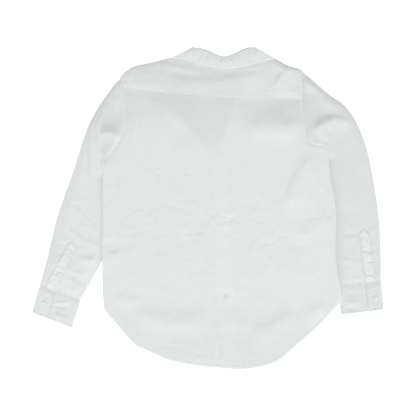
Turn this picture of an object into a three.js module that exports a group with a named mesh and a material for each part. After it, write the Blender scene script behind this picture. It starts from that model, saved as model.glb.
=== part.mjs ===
// A long-sleeved button-up shirt in linen, laid flat on its front, with its back up.
// Millimetres, +Z up. The shirt lies on the plane z = 0 and the collar points along +Y.
// Every piece of cloth is a wall of its own, one seam gap away from the pieces it is sewn to.
import * as THREE from 'three';
import { mergeVertices } from 'three/addons/utils/BufferGeometryUtils.js';

// ---------------------------------------------------------------- driving dimensions
const CLOTH = 1.1; // thickness of one layer of linen
const CUFF_CLOTH = 1.2; // a cuff is stiffened, so its wall is a little thicker
const SEAM_GAP = 0.3; // play between pieces that are sewn or lie on each other
const LAYER = CLOTH + SEAM_GAP; // rise from one layer to the next
const BAND_WIDTH = 30; // front bands
const SIDE_STRIP = 25; // how far a side seam lies over its sleeve
const BAND_RAMP = 32; // a front rises to its band over this width
const SLEEVE_AIR = 0.5; // space between the two layers of a flattened sleeve
const SLEEVE_STACK = 2 * CLOTH + SLEEVE_AIR + SEAM_GAP; // height at which the body clears a sleeve
const YOKE_TURN = 45; // how far the yoke reaches down the front at the neck

const BUTTON = { diameter: 11, thickness: 2.3, rim: 0.5, dish: 5.4, segments: 14 };
const BUTTON_STACK = BUTTON.thickness + SEAM_GAP; // the front bands lie on their buttons

const LINEN = { color: 0xe3e8e6, roughness: 0.85, metalness: 0 };
const SHELL = { color: 0xd6dbd9, roughness: 0.35, metalness: 0 };

// ---------------------------------------------------------------- tables
// The body in rows from the hem to the yoke seam: both ends of each row, how far its middle falls
// below them, how much of its ends lies on the sleeves, the edges of the fronts at the bands, and
// how much of the button height the bands take there.
const BODY_ROWS = [
  { name: 'hem', lx: -238.5, ly: -236, rx: 310.5, ry: -213, fall: 149, lOn: 0, rOn: 1, band: 25, lift: 0 },
  { name: 'tail', lx: -239.5, ly: -222, rx: 308, ry: -200, fall: 148.5, lOn: 0, rOn: 1, band: 25, lift: 0 },
  { name: 'seat', lx: -241.5, ly: -200, rx: 303.5, ry: -180, fall: 112, lOn: 0, rOn: 1, band: 24, lift: 0.4 },
  { name: 'seat_mid', lx: -242.5, ly: -175, rx: 299, ry: -158, fall: 76, lOn: 0, rOn: 1, band: 22, lift: 1 },
  { name: 'seat_top', lx: -243, ly: -150, rx: 296, ry: -135, fall: 46, lOn: 0, rOn: 1, band: 20, lift: 1 },
  { name: 'hip', lx: -243, ly: -126, rx: 293, ry: -110, fall: 26, lOn: 1, rOn: 1, band: 19, lift: 1 },
  { name: 'high_hip', lx: -242.5, ly: -80, rx: 293.5, ry: -66, fall: 12, lOn: 1, rOn: 1, band: 17, lift: 1 },
  { name: 'waist', lx: -241.5, ly: -30, rx: 294.5, ry: -17, fall: 5, lOn: 1, rOn: 1, band: 15.5, lift: 1 },
  { name: 'high_waist', lx: -242, ly: 12, rx: 290, ry: 24, fall: 0, lOn: 1, rOn: 1, band: 14, lift: 1 },
  { name: 'ribs', lx: -242.5, ly: 45, rx: 283, ry: 62, fall: 0, lOn: 1, rOn: 1, band: 13, lift: 1 },
  { name: 'low_chest', lx: -243.9, ly: 83, rx: 275, ry: 125, fall: 0, lOn: 1, rOn: 1, band: 12, lift: 1 },
  { name: 'underarm', lx: -244.5, ly: 93, rx: 274, ry: 137, fall: 0, lOn: 0, rOn: 0, band: 11, lift: 1 },
];
// Above the closed bands the fronts part in a V, so each front has an edge of its own.
const OPEN_ROWS = [
  { name: 'v_point', lx: -230, ly: 121, rx: 255, ry: 143, fall: 0, lEdge: -20, rEdge: 50, lift: 1 },
  { name: 'scye_1', lx: -209, ly: 149.5, rx: 237, ry: 149, fall: 0, lEdge: -57, rEdge: 58, lift: 0 },
  { name: 'scye_2', lx: -193, ly: 178, rx: 226, ry: 172, fall: 0, lEdge: -86, rEdge: 69, lift: 0 },
  { name: 'scye_3', lx: -186.5, ly: 212, rx: 219, ry: 205, fall: 3, lEdge: -125, rEdge: 84, lift: 0 },
  { name: 'scye_4', lx: -188, ly: 245, rx: 217.5, ry: 232, fall: 5, lEdge: -147, rEdge: 100, lift: 0 },
  { name: 'yoke_seam', lx: -193, ly: 275, rx: 217, ry: 250, fall: 8, lEdge: -127, rEdge: 75, lift: 0 },
];
// The curve of the tail: across runs from the left side seam to the right one, fall from 0 to 1.
const TAIL_CURVE = [
  { across: 0, fall: 0 },
  { across: 0.123, fall: 0.53 },
  { across: 0.158, fall: 0.614 },
  { across: 0.223, fall: 0.727 },
  { across: 0.27, fall: 0.81 },
  { across: 0.367, fall: 0.9 },
  { across: 0.463, fall: 0.958 },
  { across: 0.583, fall: 1 },
  { across: 0.687, fall: 0.95 },
  { across: 0.735, fall: 0.876 },
  { across: 0.767, fall: 0.785 },
  { across: 0.89, fall: 0.4 },
  { across: 0.952, fall: 0.171 },
  { across: 1, fall: 0 },
];
// Where the two edges of the V end at the neck seam, and the free edge of each band along it.
const V_LEFT = { point: [12.9, 127.7], top: [-126.3, 252], bandTop: [-146.3, 229.5] };
const V_RIGHT = { point: [14, 127.7], top: [74, 252], bandTop: [99, 239.5] };

// The armhole above the yoke seam, left and right, up to the tip of the shoulder.
const YOKE_SIDE = [
  { lx: -197, ly: 287, rx: 217.5, ry: 272 },
  { lx: -201, ly: 299, rx: 219, ry: 293 },
  { lx: -191, ly: 311, rx: 219, ry: 312.8 },
];
// The top of the yoke: shoulder folds outside the two neck points, neck seam between them.
const SHOULDER_LEFT = -191;
const SHOULDER_RIGHT = 219;
const NECK_LEFT = -82.6;
const NECK_RIGHT = 152;
const YOKE_TOP = [
  { x: SHOULDER_LEFT, y: 311 },
  { x: -177, y: 320.5 },
  { x: -162, y: 326 },
  { x: -124, y: 334 },
  { x: NECK_LEFT, y: 344 },
  { x: -58, y: 342 },
  { x: -30, y: 333.5 },
  { x: 0, y: 325.5 },
  { x: 32, y: 321 },
  { x: 60, y: 322 },
  { x: 85, y: 325.5 },
  { x: 124, y: 337 },
  { x: NECK_RIGHT, y: 341.6 },
  { x: 182, y: 327.3 },
  { x: 211, y: 317.5 },
  { x: SHOULDER_RIGHT, y: 312.8 },
];
const NECK_COLUMNS = [-58, -30, 0, 32, 60, 85, 124]; // between the neck points
const SHOULDER_COLUMNS = {
  left: spread(SHOULDER_LEFT, NECK_LEFT, 4),
  right: spread(NECK_RIGHT, SHOULDER_RIGHT, 3),
};
const YOKE_COLUMNS = [...SHOULDER_COLUMNS.left, ...NECK_COLUMNS, ...SHOULDER_COLUMNS.right];
// The seam where the yoke's turned part ends on the front, at the armhole and at the neck.
const UNDER_SEAM = {
  left: { scye: [-197, 287], neck: [NECK_LEFT - 21, 344 - YOKE_TURN], bulge: 3 },
  right: { scye: [217.5, 272], neck: [NECK_RIGHT - 39, 341.6 - YOKE_TURN], bulge: 0 },
};

// The free edge of the collar band's back part, from the left fold to the right one.
const COLLAR_TOP = [
  { x: -34, y: 367.6 },
  { x: -18, y: 366.4 },
  { x: 1, y: 360.6 },
  { x: 20, y: 352 },
  { x: 37, y: 347.3 },
  { x: 54, y: 351 },
  { x: 85, y: 365.2 },
  { x: 95, y: 368 },
  { x: 105, y: 367.2 },
];
// The band's front parts, from each fold to its end: seam edge, then free edge.
const COLLAR_FRONT_LEFT = [
  { sx: -82.4, sy: 342.1, fx: -36.5, fy: 366.4 },
  { sx: -92, sy: 321.5, fx: -62, fy: 315 },
  { sx: -103, sy: 298, fx: -76, fy: 285.5 },
  { sx: -125.2, sy: 251.8, fx: -99, fy: 239 },
];
const COLLAR_FRONT_RIGHT = [
  { sx: 150.6, sy: 341.1, fx: 106.4, fy: 366 },
  { sx: 132, sy: 319, fx: 98, fy: 330 },
  { sx: 112.6, sy: 296.4, fx: 84, fy: 308 },
  { sx: 87.4, sy: 267.4, fx: 64.5, fy: 285.5 },
  { sx: 73.6, sy: 253.4, fx: 51.5, fy: 272.5 },
];

// The sleeves in rings from the shoulder to the cuff seam: where each ring meets the overarm and
// the underarm, and how much of the armhole's curve it keeps at the shoulder. The rings fan out
// from the armpit.
const SLEEVE_RINGS = {
  left: [
    { ox: -219.7, oy: 276.5, ix: -247.4, iy: 86.5, bow: 0.5 },
    { ox: -246.5, oy: 238.5, ix: -249.4, iy: 79, bow: 0.28 },
    { ox: -262, oy: 213, ix: -250, iy: 71.5, bow: 0.14 },
    { ox: -276, oy: 184.5, ix: -249, iy: 61, bow: 0.06 },
    { ox: -285.5, oy: 158, ix: -245, iy: 46, bow: 0 },
    { ox: -294, oy: 132.5, ix: -238.5, iy: 31, bow: 0 },
    { ox: -302, oy: 106, ix: -230, iy: 19, bow: 0 },
    { ox: -310.5, oy: 79.5, ix: -225, iy: 5, bow: 0 },
    { ox: -319.5, oy: 54.5, ix: -222, iy: -12, bow: 0 },
    { ox: -328.7, oy: 29, ix: -221.5, iy: -35, bow: 0 },
    { ox: -348, oy: -29, ix: -227, iy: -78, bow: 0 },
    { ox: -354.8, oy: -57, ix: -233, iy: -98, bow: 0 },
    { ox: -361.5, oy: -85, ix: -240, iy: -116, bow: 0 },
    { ox: -371.5, oy: -127, ix: -262, iy: -158, bow: 0 },
    { ox: -380, oy: -158, ix: -281, iy: -192.5, bow: 0 },
    { ox: -386.4, oy: -180, ix: -295, iy: -213.5, bow: 0 },
  ],
  right: [
    { ox: 239, oy: 293.7, ix: 279.5, iy: 131, bow: 0.35 },
    { ox: 258.3, oy: 276.7, ix: 282.6, iy: 123, bow: 0.2 },
    { ox: 281, oy: 257.6, ix: 284, iy: 114.5, bow: 0.1 },
    { ox: 303, oy: 243.6, ix: 283.6, iy: 103, bow: 0.04 },
    { ox: 321, oy: 226, ix: 281, iy: 87.5, bow: 0 },
    { ox: 336, oy: 204.5, ix: 276.5, iy: 72, bow: 0 },
    { ox: 347.5, oy: 182, ix: 271.5, iy: 58, bow: 0 },
    { ox: 356.5, oy: 159.5, ix: 268.5, iy: 44, bow: 0 },
    { ox: 366, oy: 130, ix: 267, iy: 31, bow: 0 },
    { ox: 373, oy: 100, ix: 268, iy: 11, bow: 0 },
    { ox: 385, oy: 34, ix: 270, iy: -32, bow: 0 },
    { ox: 393, oy: -29, ix: 271.5, iy: -74, bow: 0 },
    { ox: 396, oy: -80, ix: 275, iy: -114, bow: 0 },
    { ox: 397.4, oy: -125.5, ix: 286, iy: -148, bow: 0 },
    { ox: 397.4, oy: -150, ix: 294, iy: -168, bow: 0 },
    { ox: 397.4, oy: -169.3, ix: 300, iy: -182, bow: 0 },
  ],
};

// The largest folds, each a soft ridge from (x0, y0) to (x1, y1).
const BACK_FOLDS = [
  { name: 'under_right_scye', x0: 236, y0: 92, x1: 190, y1: -62, height: 2.4, width: 30 },
  { name: 'right_shoulder_blade', x0: 112, y0: 186, x1: 200, y1: 180, height: 2, width: 24 },
  { name: 'left_side', x0: -214, y0: 118, x1: -212, y1: 20, height: 1.6, width: 22 },
  { name: 'seat', x0: -120, y0: -268, x1: 130, y1: -290, height: 2.2, width: 40 },
];
const YOKE_FOLDS = [{ name: 'below_neck', x0: -130, y0: 296, x1: 90, y1: 284, height: 1.4, width: 20 }];
const SLEEVE_FOLDS = {
  left: [
    { name: 'armpit', x0: -256, y0: 176, x1: -216, y1: 164, height: 2.6, width: 18 },
    { name: 'overarm', x0: -266, y0: 186, x1: -284, y1: 30, height: 2, width: 16 },
    { name: 'elbow', x0: -266, y0: -62, x1: -336, y1: -14, height: 1.8, width: 20 },
  ],
  right: [
    { name: 'armpit', x0: 262, y0: 184, x1: 316, y1: 190, height: 2.6, width: 20 },
    { name: 'elbow', x0: 318, y0: -14, x1: 372, y1: 4, height: 1.8, width: 20 },
  ],
};

// The tower plackets: tip, both shoulders, and the two ends at the cuff seam.
const TOWERS = {
  left: {
    tip: [-310.7, -81],
    inner: [-301, -95.5],
    outer: [-321.6, -85.5],
    innerEnd: [-354, -190.5],
    outerEnd: [-375, -183],
  },
  right: {
    tip: [357.2, -51],
    inner: [347, -61],
    outer: [370, -64],
    innerEnd: [362, -172.8],
    outerEnd: [385, -169.9],
  },
};
// The cuffs: corners of the flattened cuff, and how far its overlap reaches from the outer fold.
const CUFFS = {
  left: {
    outerTop: [-386.4, -180],
    innerTop: [-295, -213.5],
    outerEnd: [-404, -241],
    innerEnd: [-313.5, -275.5],
    overlap: 38,
  },
  right: {
    outerTop: [397.4, -169.3],
    innerTop: [300, -182],
    outerEnd: [404, -234],
    innerEnd: [307.5, -245.5],
    overlap: 35,
  },
};
// Share of the cuff's height, and share of the overlap's reach there: its end corner is rounded.
const CUFF_ROWS = [
  { down: 0, reach: 1 },
  { down: 0.5, reach: 1.03 },
  { down: 0.8, reach: 1.02 },
  { down: 0.94, reach: 0.88 },
  { down: 1, reach: 0.68 },
];

const CUFF_UNDER_END = 12; // where the cuff's under end stops, from the outer fold

const FRONT_BUTTONS = [114, 52, -33, -118, -203]; // heights of the buttons down the front
const SLEEVE_BUTTONS = {
  left: { placket: [-340.5, -155.5], cuff: [-376, -222.5] },
  right: { placket: [370.8, -132], cuff: [384.5, -209.5] },
};

// ---------------------------------------------------------------- helpers
function spread(from, to, parts) {
  return Array.from({ length: parts + 1 }, (_, i) => from + ((to - from) * i) / parts);
}

function mix(a, b, t) {
  return a + (b - a) * t;
}

function along(table, key, value, at) {
  const next = table.findIndex((row) => row[key] >= at);
  if (next <= 0) return table[next === 0 ? 0 : table.length - 1][value];
  const [a, b] = [table[next - 1], table[next]];
  return mix(a[value], b[value], (at - a[key]) / (b[key] - a[key]));
}

// Height of the soft ridges of a fold table at one point.
function foldHeight(folds, x, y) {
  let total = 0;
  for (const fold of folds) {
    const [dx, dy] = [fold.x1 - fold.x0, fold.y1 - fold.y0];
    const t = ((x - fold.x0) * dx + (y - fold.y0) * dy) / (dx * dx + dy * dy);
    const near = Math.min(1, Math.max(0, t));
    const off = Math.hypot(x - fold.x0 - near * dx, y - fold.y0 - near * dy) / fold.width;
    if (off < 1) total += fold.height * (1 - off * off) ** 2;
  }
  return total;
}

// A wall of cloth on a grid of middle points, grid[row][column]. Its thickness goes straight up,
// or along the surface's own normal when the piece is folded. A ring closes its columns, and its
// cells are halved along their shorter diagonal, which keeps a sleeve clear of the underarm.
function wall(grid, { thickness = CLOTH, folded = false, ring = false, holds = () => true } = {}) {
  const rows = grid.length;
  const columns = grid[0].length;
  const wrap = (c) => (ring ? (c + columns) % columns : Math.min(columns - 1, Math.max(0, c)));
  const point = (r, c) => grid[Math.min(rows - 1, Math.max(0, r))][wrap(c)];
  const offset = (r, c) => {
    if (!folded) return new THREE.Vector3(0, 0, thickness / 2);
    const acrossRow = point(r, c + 1).clone().sub(point(r, c - 1));
    const alongColumn = point(r + 1, c).clone().sub(point(r - 1, c));
    return acrossRow.cross(alongColumn).setLength(thickness / 2);
  };
  const faces = grid.map((row, r) => row.map((p, c) => {
    const shift = offset(r, c);
    return [p.clone().add(shift), p.clone().sub(shift)];
  }));
  const cellColumns = ring ? columns : columns - 1;
  const cell = (r, c) => {
    if (r < 0 || r >= rows - 1) return false;
    if (!ring && (c < 0 || c >= cellColumns)) return false;
    return holds(r, wrap(c));
  };
  const positions = [];
  const triangle = (...corners) => corners.forEach((v) => positions.push(v.x, v.y, v.z));
  const rim = (a, b) => {
    triangle(b[0], a[0], a[1]);
    triangle(b[0], a[1], b[1]);
  };
  for (let r = 0; r < rows - 1; r += 1) {
    for (let c = 0; c < cellColumns; c += 1) {
      if (!cell(r, c)) continue;
      const [p, q] = [faces[r][c], faces[r][wrap(c + 1)]];
      const [s, t] = [faces[r + 1][wrap(c + 1)], faces[r + 1][c]];
      const crossed = ring && q[0].distanceTo(t[0]) < p[0].distanceTo(s[0]);
      const halves = crossed ? [[p, q, t], [q, s, t]] : [[p, q, s], [p, s, t]];
      for (const [a, b, d] of halves) {
        triangle(a[0], b[0], d[0]);
        triangle(d[1], b[1], a[1]);
      }
      if (!cell(r - 1, c)) rim(p, q);
      if (!cell(r, c + 1)) rim(q, s);
      if (!cell(r + 1, c)) rim(s, t);
      if (!cell(r, c - 1)) rim(t, p);
    }
  }
  return closed(positions);
}

// An indexed geometry from loose triangles, turned inside out if its volume is negative.
function closed(positions) {
  let volume = 0;
  for (let i = 0; i < positions.length; i += 9) {
    const [a, b, c] = [0, 3, 6].map((k) => new THREE.Vector3().fromArray(positions, i + k));
    volume += a.dot(b.cross(c));
  }
  if (volume < 0) {
    for (let i = 0; i < positions.length; i += 9) {
      const first = positions.slice(i, i + 3);
      for (let k = 0; k < 3; k += 1) {
        positions[i + k] = positions[i + 3 + k];
        positions[i + 3 + k] = first[k];
      }
    }
  }
  const geometry = new THREE.BufferGeometry();
  geometry.setAttribute('position', new THREE.Float32BufferAttribute(positions, 3));
  return mergeVertices(geometry, 1e-4);
}

// ---------------------------------------------------------------- the body's grid
const ROWS = [
  ...BODY_ROWS.map((row) => ({ ...row, lEdge: row.band, rEdge: row.band + BAND_WIDTH, shut: 1 })),
  ...OPEN_ROWS.map((row, i) => ({ ...row, lOn: 0, rOn: 0, shut: i === 0 ? 1 : 0 })),
];
const V_ROW = BODY_ROWS.length; // the row at the point of the V
const SEAM_ROW = ROWS.length - 1; // the yoke seam

function rowY(row, x) {
  const across = (x - row.lx) / (row.rx - row.lx);
  return mix(row.ly, row.ry, across) - row.fall * along(TAIL_CURVE, 'across', 'fall', across);
}

// The level part of a front, between its side strip and its edge. On a narrow front the slopes at
// both its ends shrink, so that the columns stay in order.
const SLOPE_SHARE = 0.2;
function levelPart(from, to, parts) {
  const most = SLOPE_SHARE * (to - from);
  const slope = (length) => Math.sign(most) * Math.min(length, Math.abs(most));
  return spread(from + slope(SIDE_STRIP), to - slope(BAND_RAMP), parts);
}

// Columns of one row, shared by the back and the fronts so that the layers stay parallel.
const LEFT_SPLITS = 4;
const RIGHT_SPLITS = 5;
const L_FRONT_LAST = 4 + LEFT_SPLITS; // the column at the left front's edge
const R_FRONT_FIRST = L_FRONT_LAST + 3; // the column at the right front's edge
function columnsOf(row) {
  const [left, right] = [row.lx + SIDE_STRIP, row.rx - SIDE_STRIP];
  const leftFlat = levelPart(left, row.lEdge, LEFT_SPLITS + 1);
  const rightFlat = levelPart(right, row.rEdge, RIGHT_SPLITS + 1).reverse();
  return [row.lx, left, ...leftFlat, ...spread(row.lEdge, row.rEdge, 3), ...rightFlat, right, row.rx];
}
const LAST_COLUMN = columnsOf(ROWS[0]).length - 1;

// Height of the underside of a front at one column of the shared grid.
function frontLevel(row, column) {
  if (column <= 1) return row.lOn * SLEEVE_STACK;
  if (column >= LAST_COLUMN - 1) return row.rOn * SLEEVE_STACK;
  if (column === L_FRONT_LAST) return row.lift * BUTTON_STACK + row.shut * LAYER;
  if (column === R_FRONT_FIRST) return row.lift * BUTTON_STACK;
  return 0;
}

// Height of the underside of the back: one layer over the fronts, or two over the closed bands.
function backLevel(row, column) {
  const overBands = column >= L_FRONT_LAST && column <= R_FRONT_FIRST;
  if (row.name === 'hem') return row.rOn * frontLevel(row, column);
  if (overBands) return LAYER + row.shut * (row.lift * BUTTON_STACK + LAYER);
  return frontLevel(row, column) + LAYER;
}

function bodyGrid(rows, first, last, level) {
  return rows.map((row) => {
    const columns = columnsOf(row).slice(first, last + 1);
    return columns.map((x, i) => {
      const y = rowY(row, x);
      return new THREE.Vector3(x, y, level(row, first + i) + CLOTH / 2);
    });
  });
}

function backPanel() {
  const onSide = (c) => [0, 1, LAST_COLUMN - 1, LAST_COLUMN].includes(c);
  const grid = bodyGrid(ROWS, 0, LAST_COLUMN, backLevel);
  grid.slice(1, SEAM_ROW).flatMap((row) => row.filter((_, c) => !onSide(c))).forEach((p) => {
    p.z += foldHeight(BACK_FOLDS, p.x, p.y);
  });
  return wall(grid);
}

// ---------------------------------------------------------------- yoke
// The point on the front seam of the yoke's turned part that lies below the shoulder's point at x.
function underSeam(x) {
  const side = x < 0 ? 'left' : 'right';
  const [neck, tip] = side === 'left' ? [NECK_LEFT, SHOULDER_LEFT] : [NECK_RIGHT, SHOULDER_RIGHT];
  const reach = (x - tip) / (neck - tip);
  const seam = UNDER_SEAM[side];
  const bulge = seam.bulge * reach * (1 - reach);
  return [mix(seam.scye[0], seam.neck[0], reach), mix(seam.scye[1], seam.neck[1], reach) + bulge];
}

const FOLD_RADIUS = LAYER / 2; // middle of the cloth round a shoulder fold
const COLUMN_PULL = 0.85; // how nearly the yoke's middle columns run straight down
function yoke() {
  const seam = ROWS[SEAM_ROW];
  const upper = LAYER + CLOTH / 2;
  const under = CLOTH / 2;
  const acrossAt = (topX) => (topX - SHOULDER_LEFT) / (SHOULDER_RIGHT - SHOULDER_LEFT);
  const columnX = (row, topX) => {
    const across = acrossAt(topX);
    return mix(mix(row.lx, row.rx, across), topX, COLUMN_PULL * Math.sin(Math.PI * across));
  };
  const topY = (x) => along(YOKE_TOP, 'x', 'y', x);
  const seamRow = YOKE_COLUMNS.map((topX) => {
    const x = columnX(seam, topX);
    return new THREE.Vector3(x, rowY(seam, x) + SEAM_GAP, upper);
  });
  const grid = [seamRow];
  const inner = YOKE_SIDE.slice(0, -1);
  inner.forEach((edge, i) => {
    grid.push(YOKE_COLUMNS.map((topX, c) => {
      const across = acrossAt(topX);
      const x = columnX(edge, topX);
      const even = mix(seamRow[c].y, topY(topX), (i + 1) / YOKE_SIDE.length);
      const y = across === 0 || across === 1 ? mix(edge.ly, edge.ry, across) : even;
      return new THREE.Vector3(x, y, upper + foldHeight(YOKE_FOLDS, x, y));
    }));
  });
  const folds = (x) => x <= NECK_LEFT || x >= NECK_RIGHT;
  const inset = (x, extra) => topY(x) - (folds(x) ? CLOTH / 2 + extra : 0);
  grid.push(YOKE_COLUMNS.map((x) => new THREE.Vector3(x, inset(x, FOLD_RADIUS), upper)));
  grid.push(YOKE_COLUMNS.map((x) => new THREE.Vector3(x, inset(x, 0), (upper + under) / 2)));
  grid.push(YOKE_COLUMNS.map((x) => new THREE.Vector3(x, inset(x, FOLD_RADIUS), under)));
  grid.push(YOKE_COLUMNS.map((x) => new THREE.Vector3(...underSeam(x), under)));
  const foldRow = YOKE_SIDE.length;
  const holds = (r, c) => {
    if (r < foldRow) return true;
    return folds(YOKE_COLUMNS[c]) && folds(YOKE_COLUMNS[c + 1]) && YOKE_COLUMNS[c] !== NECK_LEFT;
  };
  return wall(grid, { folded: true, holds });
}

// ---------------------------------------------------------------- fronts and bands
function front(side) {
  const left = side === 'left';
  const [first, last] = left ? [0, L_FRONT_LAST] : [R_FRONT_FIRST, LAST_COLUMN];
  const count = last - first;
  const rows = ROWS.slice(1, V_ROW + 2);
  const grid = bodyGrid(rows, first, last, frontLevel);
  for (const row of ROWS.slice(V_ROW + 2)) {
    const [from, to] = left ? [row.lx, row.lEdge] : [row.rEdge, row.rx];
    const corner = left ? V_LEFT : V_RIGHT;
    const atCorner = { scye_4: corner.bandTop[1], yoke_seam: corner.top[1] };
    const inner = atCorner[row.name] ?? rowY(row, left ? to : from);
    const outer = left ? row.ly : row.ry;
    grid.push(spread(from, to, count).map((x, i) => {
      const share = left ? i / count : 1 - i / count;
      return new THREE.Vector3(x, mix(outer, inner, share), CLOTH / 2);
    }));
  }
  const tops = SHOULDER_COLUMNS[side];
  const pieces = count / (tops.length - 1);
  grid.push(Array.from({ length: count + 1 }, (_, i) => {
    const k = Math.min(tops.length - 2, Math.floor(i / pieces));
    const [a, b] = [underSeam(tops[k]), underSeam(tops[k + 1])];
    const t = i / pieces - k;
    return new THREE.Vector3(mix(a[0], b[0], t), mix(a[1], b[1], t) - SEAM_GAP, CLOTH / 2);
  }));
  return wall(grid);
}

// A front band: its seam edge lies one gap from its front, its free edge on the other front's
// line while the shirt is shut, and along the V above.
function frontBand(side) {
  const left = side === 'left';
  const v = left ? V_LEFT : V_RIGHT;
  const rows = ROWS.slice(1, V_ROW + 4);
  const toMiddle = left ? 1 : -1;
  const grid = rows.map((row, r) => {
    const seamX = (left ? row.lEdge : row.rEdge) + toMiddle * SEAM_GAP;
    const open = r + 1 >= V_ROW;
    const y = rowY(row, seamX);
    const climb = (y - v.point[1]) / (v.top[1] - v.point[1]);
    const freeX = open
      ? mix(v.point[0], v.top[0], Math.max(0, climb))
      : seamX + toMiddle * (BAND_WIDTH - 2 * SEAM_GAP);
    const level = row.lift * BUTTON_STACK + (left ? row.shut * LAYER : 0) + CLOTH / 2;
    return spread(seamX, freeX, 2).map((x) => new THREE.Vector3(x, rowY(row, x), level));
  });
  const [endX, endY] = v.bandTop;
  grid.push([0, 0.5, 1].map((t) => new THREE.Vector3(
    mix(endX, v.top[0], t) + toMiddle * SEAM_GAP,
    mix(endY, v.top[1], t) - 2 * SEAM_GAP,
    CLOTH / 2,
  )));
  return wall(grid);
}

// ---------------------------------------------------------------- collar band
function collarBand() {
  const upper = LAYER + CLOTH / 2;
  const under = CLOTH / 2;
  const halfway = (upper + under) / 2;
  const station = (sx, sy, fx, fy, z) => spread(0, 1, 2)
    .map((t) => new THREE.Vector3(mix(sx, fx, t), mix(sy, fy, t), z));
  const frontPart = (row) => station(row.sx, row.sy, row.fx, row.fy, under);
  const seamX = [NECK_LEFT + 1, ...NECK_COLUMNS, NECK_RIGHT - 1.2];
  const back = COLLAR_TOP.map((top, i) => {
    const atFold = i === 0 || i === COLLAR_TOP.length - 1;
    const seamY = along(YOKE_TOP, 'x', 'y', seamX[i]) + (atFold ? 0 : SEAM_GAP);
    return station(seamX[i], seamY, top.x, top.y, upper);
  });
  const leftFold = station(-82.2, 343.4, -35, 368.2, halfway);
  const rightFold = station(151.3, 342.2, 106.6, 367.8, halfway);
  const grid = [
    ...COLLAR_FRONT_LEFT.slice().reverse().map(frontPart),
    leftFold,
    ...back,
    rightFold,
    ...COLLAR_FRONT_RIGHT.map(frontPart),
  ];
  return wall(grid, { folded: true });
}

// ---------------------------------------------------------------- sleeves
const EDGE_RADIUS = 0.8; // middle of the cloth round the overarm and underarm folds
const FOLDS_FROM = { left: -247, right: 278 }; // a sleeve's folds start beside the body
const FOLDS_RISE = 14; // and reach their full height over this width

// The armhole from the tip of the shoulder to the underarm, just outside the body.
const ARMHOLE_GAP = 0.95; // wider than a seam gap, because the seam bends up and down as well
function armhole(side) {
  const key = side === 'left' ? ['lx', 'ly'] : ['rx', 'ry'];
  const outward = side === 'left' ? -ARMHOLE_GAP : ARMHOLE_GAP;
  const body = ROWS.slice(V_ROW - 1).reverse();
  // on the left the yoke's last step runs along the overarm and carries no sleeve
  const yokeSide = YOKE_SIDE.slice(0, side === 'left' ? -1 : undefined).reverse();
  return [...yokeSide, ...body].map((row) => [row[key[0]] + outward, row[key[1]]]);
}

// The layers of a sleeve end one fold radius inside its outline, square to it. The inside is on
// the left of an outline that runs to the cuff where turn is 1, and on its right where it is -1.
function insideOutline(outline, turn) {
  return outline.map(([x, y], i) => {
    const before = outline[Math.max(0, i - 1)];
    const after = outline[Math.min(outline.length - 1, i + 1)];
    const inward = new THREE.Vector2(before[1] - after[1], after[0] - before[0]);
    inward.setLength(EDGE_RADIUS).multiplyScalar(turn);
    return [x + inward.x, y + inward.y];
  });
}

function sleeve(side) {
  const outward = side === 'left' ? -1 : 1;
  const scye = armhole(side);
  const lengths = [0];
  scye.slice(1).forEach(([x, y], i) => {
    lengths.push(lengths[i] + Math.hypot(x - scye[i][0], y - scye[i][1]));
  });
  const share = lengths.map((length) => length / lengths[lengths.length - 1]);
  const [tip, pit] = [scye[0], scye[scye.length - 1]];
  const bows = scye.map(([x, y], i) => [
    x - mix(tip[0], pit[0], share[i]),
    y - mix(tip[1], pit[1], share[i]),
  ]);
  const under = CLOTH / 2;
  const upper = under + CLOTH + SLEEVE_AIR;
  const middle = (upper + under) / 2;

  const armRing = [
    ...scye.map(([x, y]) => new THREE.Vector3(x, y, LAYER + under)),
    new THREE.Vector3(pit[0], pit[1] - EDGE_RADIUS, LAYER / 2 + under),
    ...scye.slice().reverse().map(([x, y]) => new THREE.Vector3(x, y, under)),
    new THREE.Vector3(tip[0] + outward * EDGE_RADIUS, tip[1] + EDGE_RADIUS / 2, LAYER / 2 + under),
  ];
  const overarm = [tip, ...SLEEVE_RINGS[side].map((ring) => [ring.ox, ring.oy])];
  const underarm = [pit, ...SLEEVE_RINGS[side].map((ring) => [ring.ix, ring.iy])];
  const starts = insideOutline(overarm, -outward);
  const ends = insideOutline(underarm, outward);
  const rings = SLEEVE_RINGS[side].map((ring, r) => {
    const [start, end] = [starts[r + 1], ends[r + 1]];
    const at = (t, i) => [0, 1].map((k) => mix(start[k], end[k], t) + ring.bow * (1 - t * t) * bows[i][k]);
    const top = share.map((t, i) => {
      const [x, y] = at(t, i);
      const clear = Math.min(1, Math.max(0, (outward * (x - FOLDS_FROM[side])) / FOLDS_RISE));
      return new THREE.Vector3(x, y, upper + clear * foldHeight(SLEEVE_FOLDS[side], x, y));
    });
    const bottom = share.map((t, i) => new THREE.Vector3(...at(t, i), under)).reverse();
    return [
      ...top,
      new THREE.Vector3(ring.ix, ring.iy, middle),
      ...bottom,
      new THREE.Vector3(ring.ox, ring.oy, middle),
    ];
  });
  const grid = [armRing, ...rings];
  const [beforeEnd, end] = grid.slice(-2);
  end.forEach((p, i) => p.add(beforeEnd[i].clone().sub(p).setZ(0).setLength(SEAM_GAP)));
  return wall(grid, { folded: true, ring: true });
}

// A tower placket lies on the sleeve's upper layer and ends at the cuff.
function tower(side) {
  const { tip, inner, outer, innerEnd, outerEnd } = TOWERS[side];
  const height = 2 * CLOTH + SLEEVE_AIR + SEAM_GAP + CLOTH / 2;
  const grid = spread(0, 1, 5).map((t) => {
    const a = [0, 1].map((k) => mix(inner[k], innerEnd[k], t));
    const b = [0, 1].map((k) => mix(outer[k], outerEnd[k], t));
    const point = [0, 1].map((k) => mix(tip[k], mix(innerEnd[k], outerEnd[k], 0.5), t));
    return [a, point, b].map(([x, y]) => new THREE.Vector3(x, y, height));
  });
  return wall(grid);
}

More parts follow.
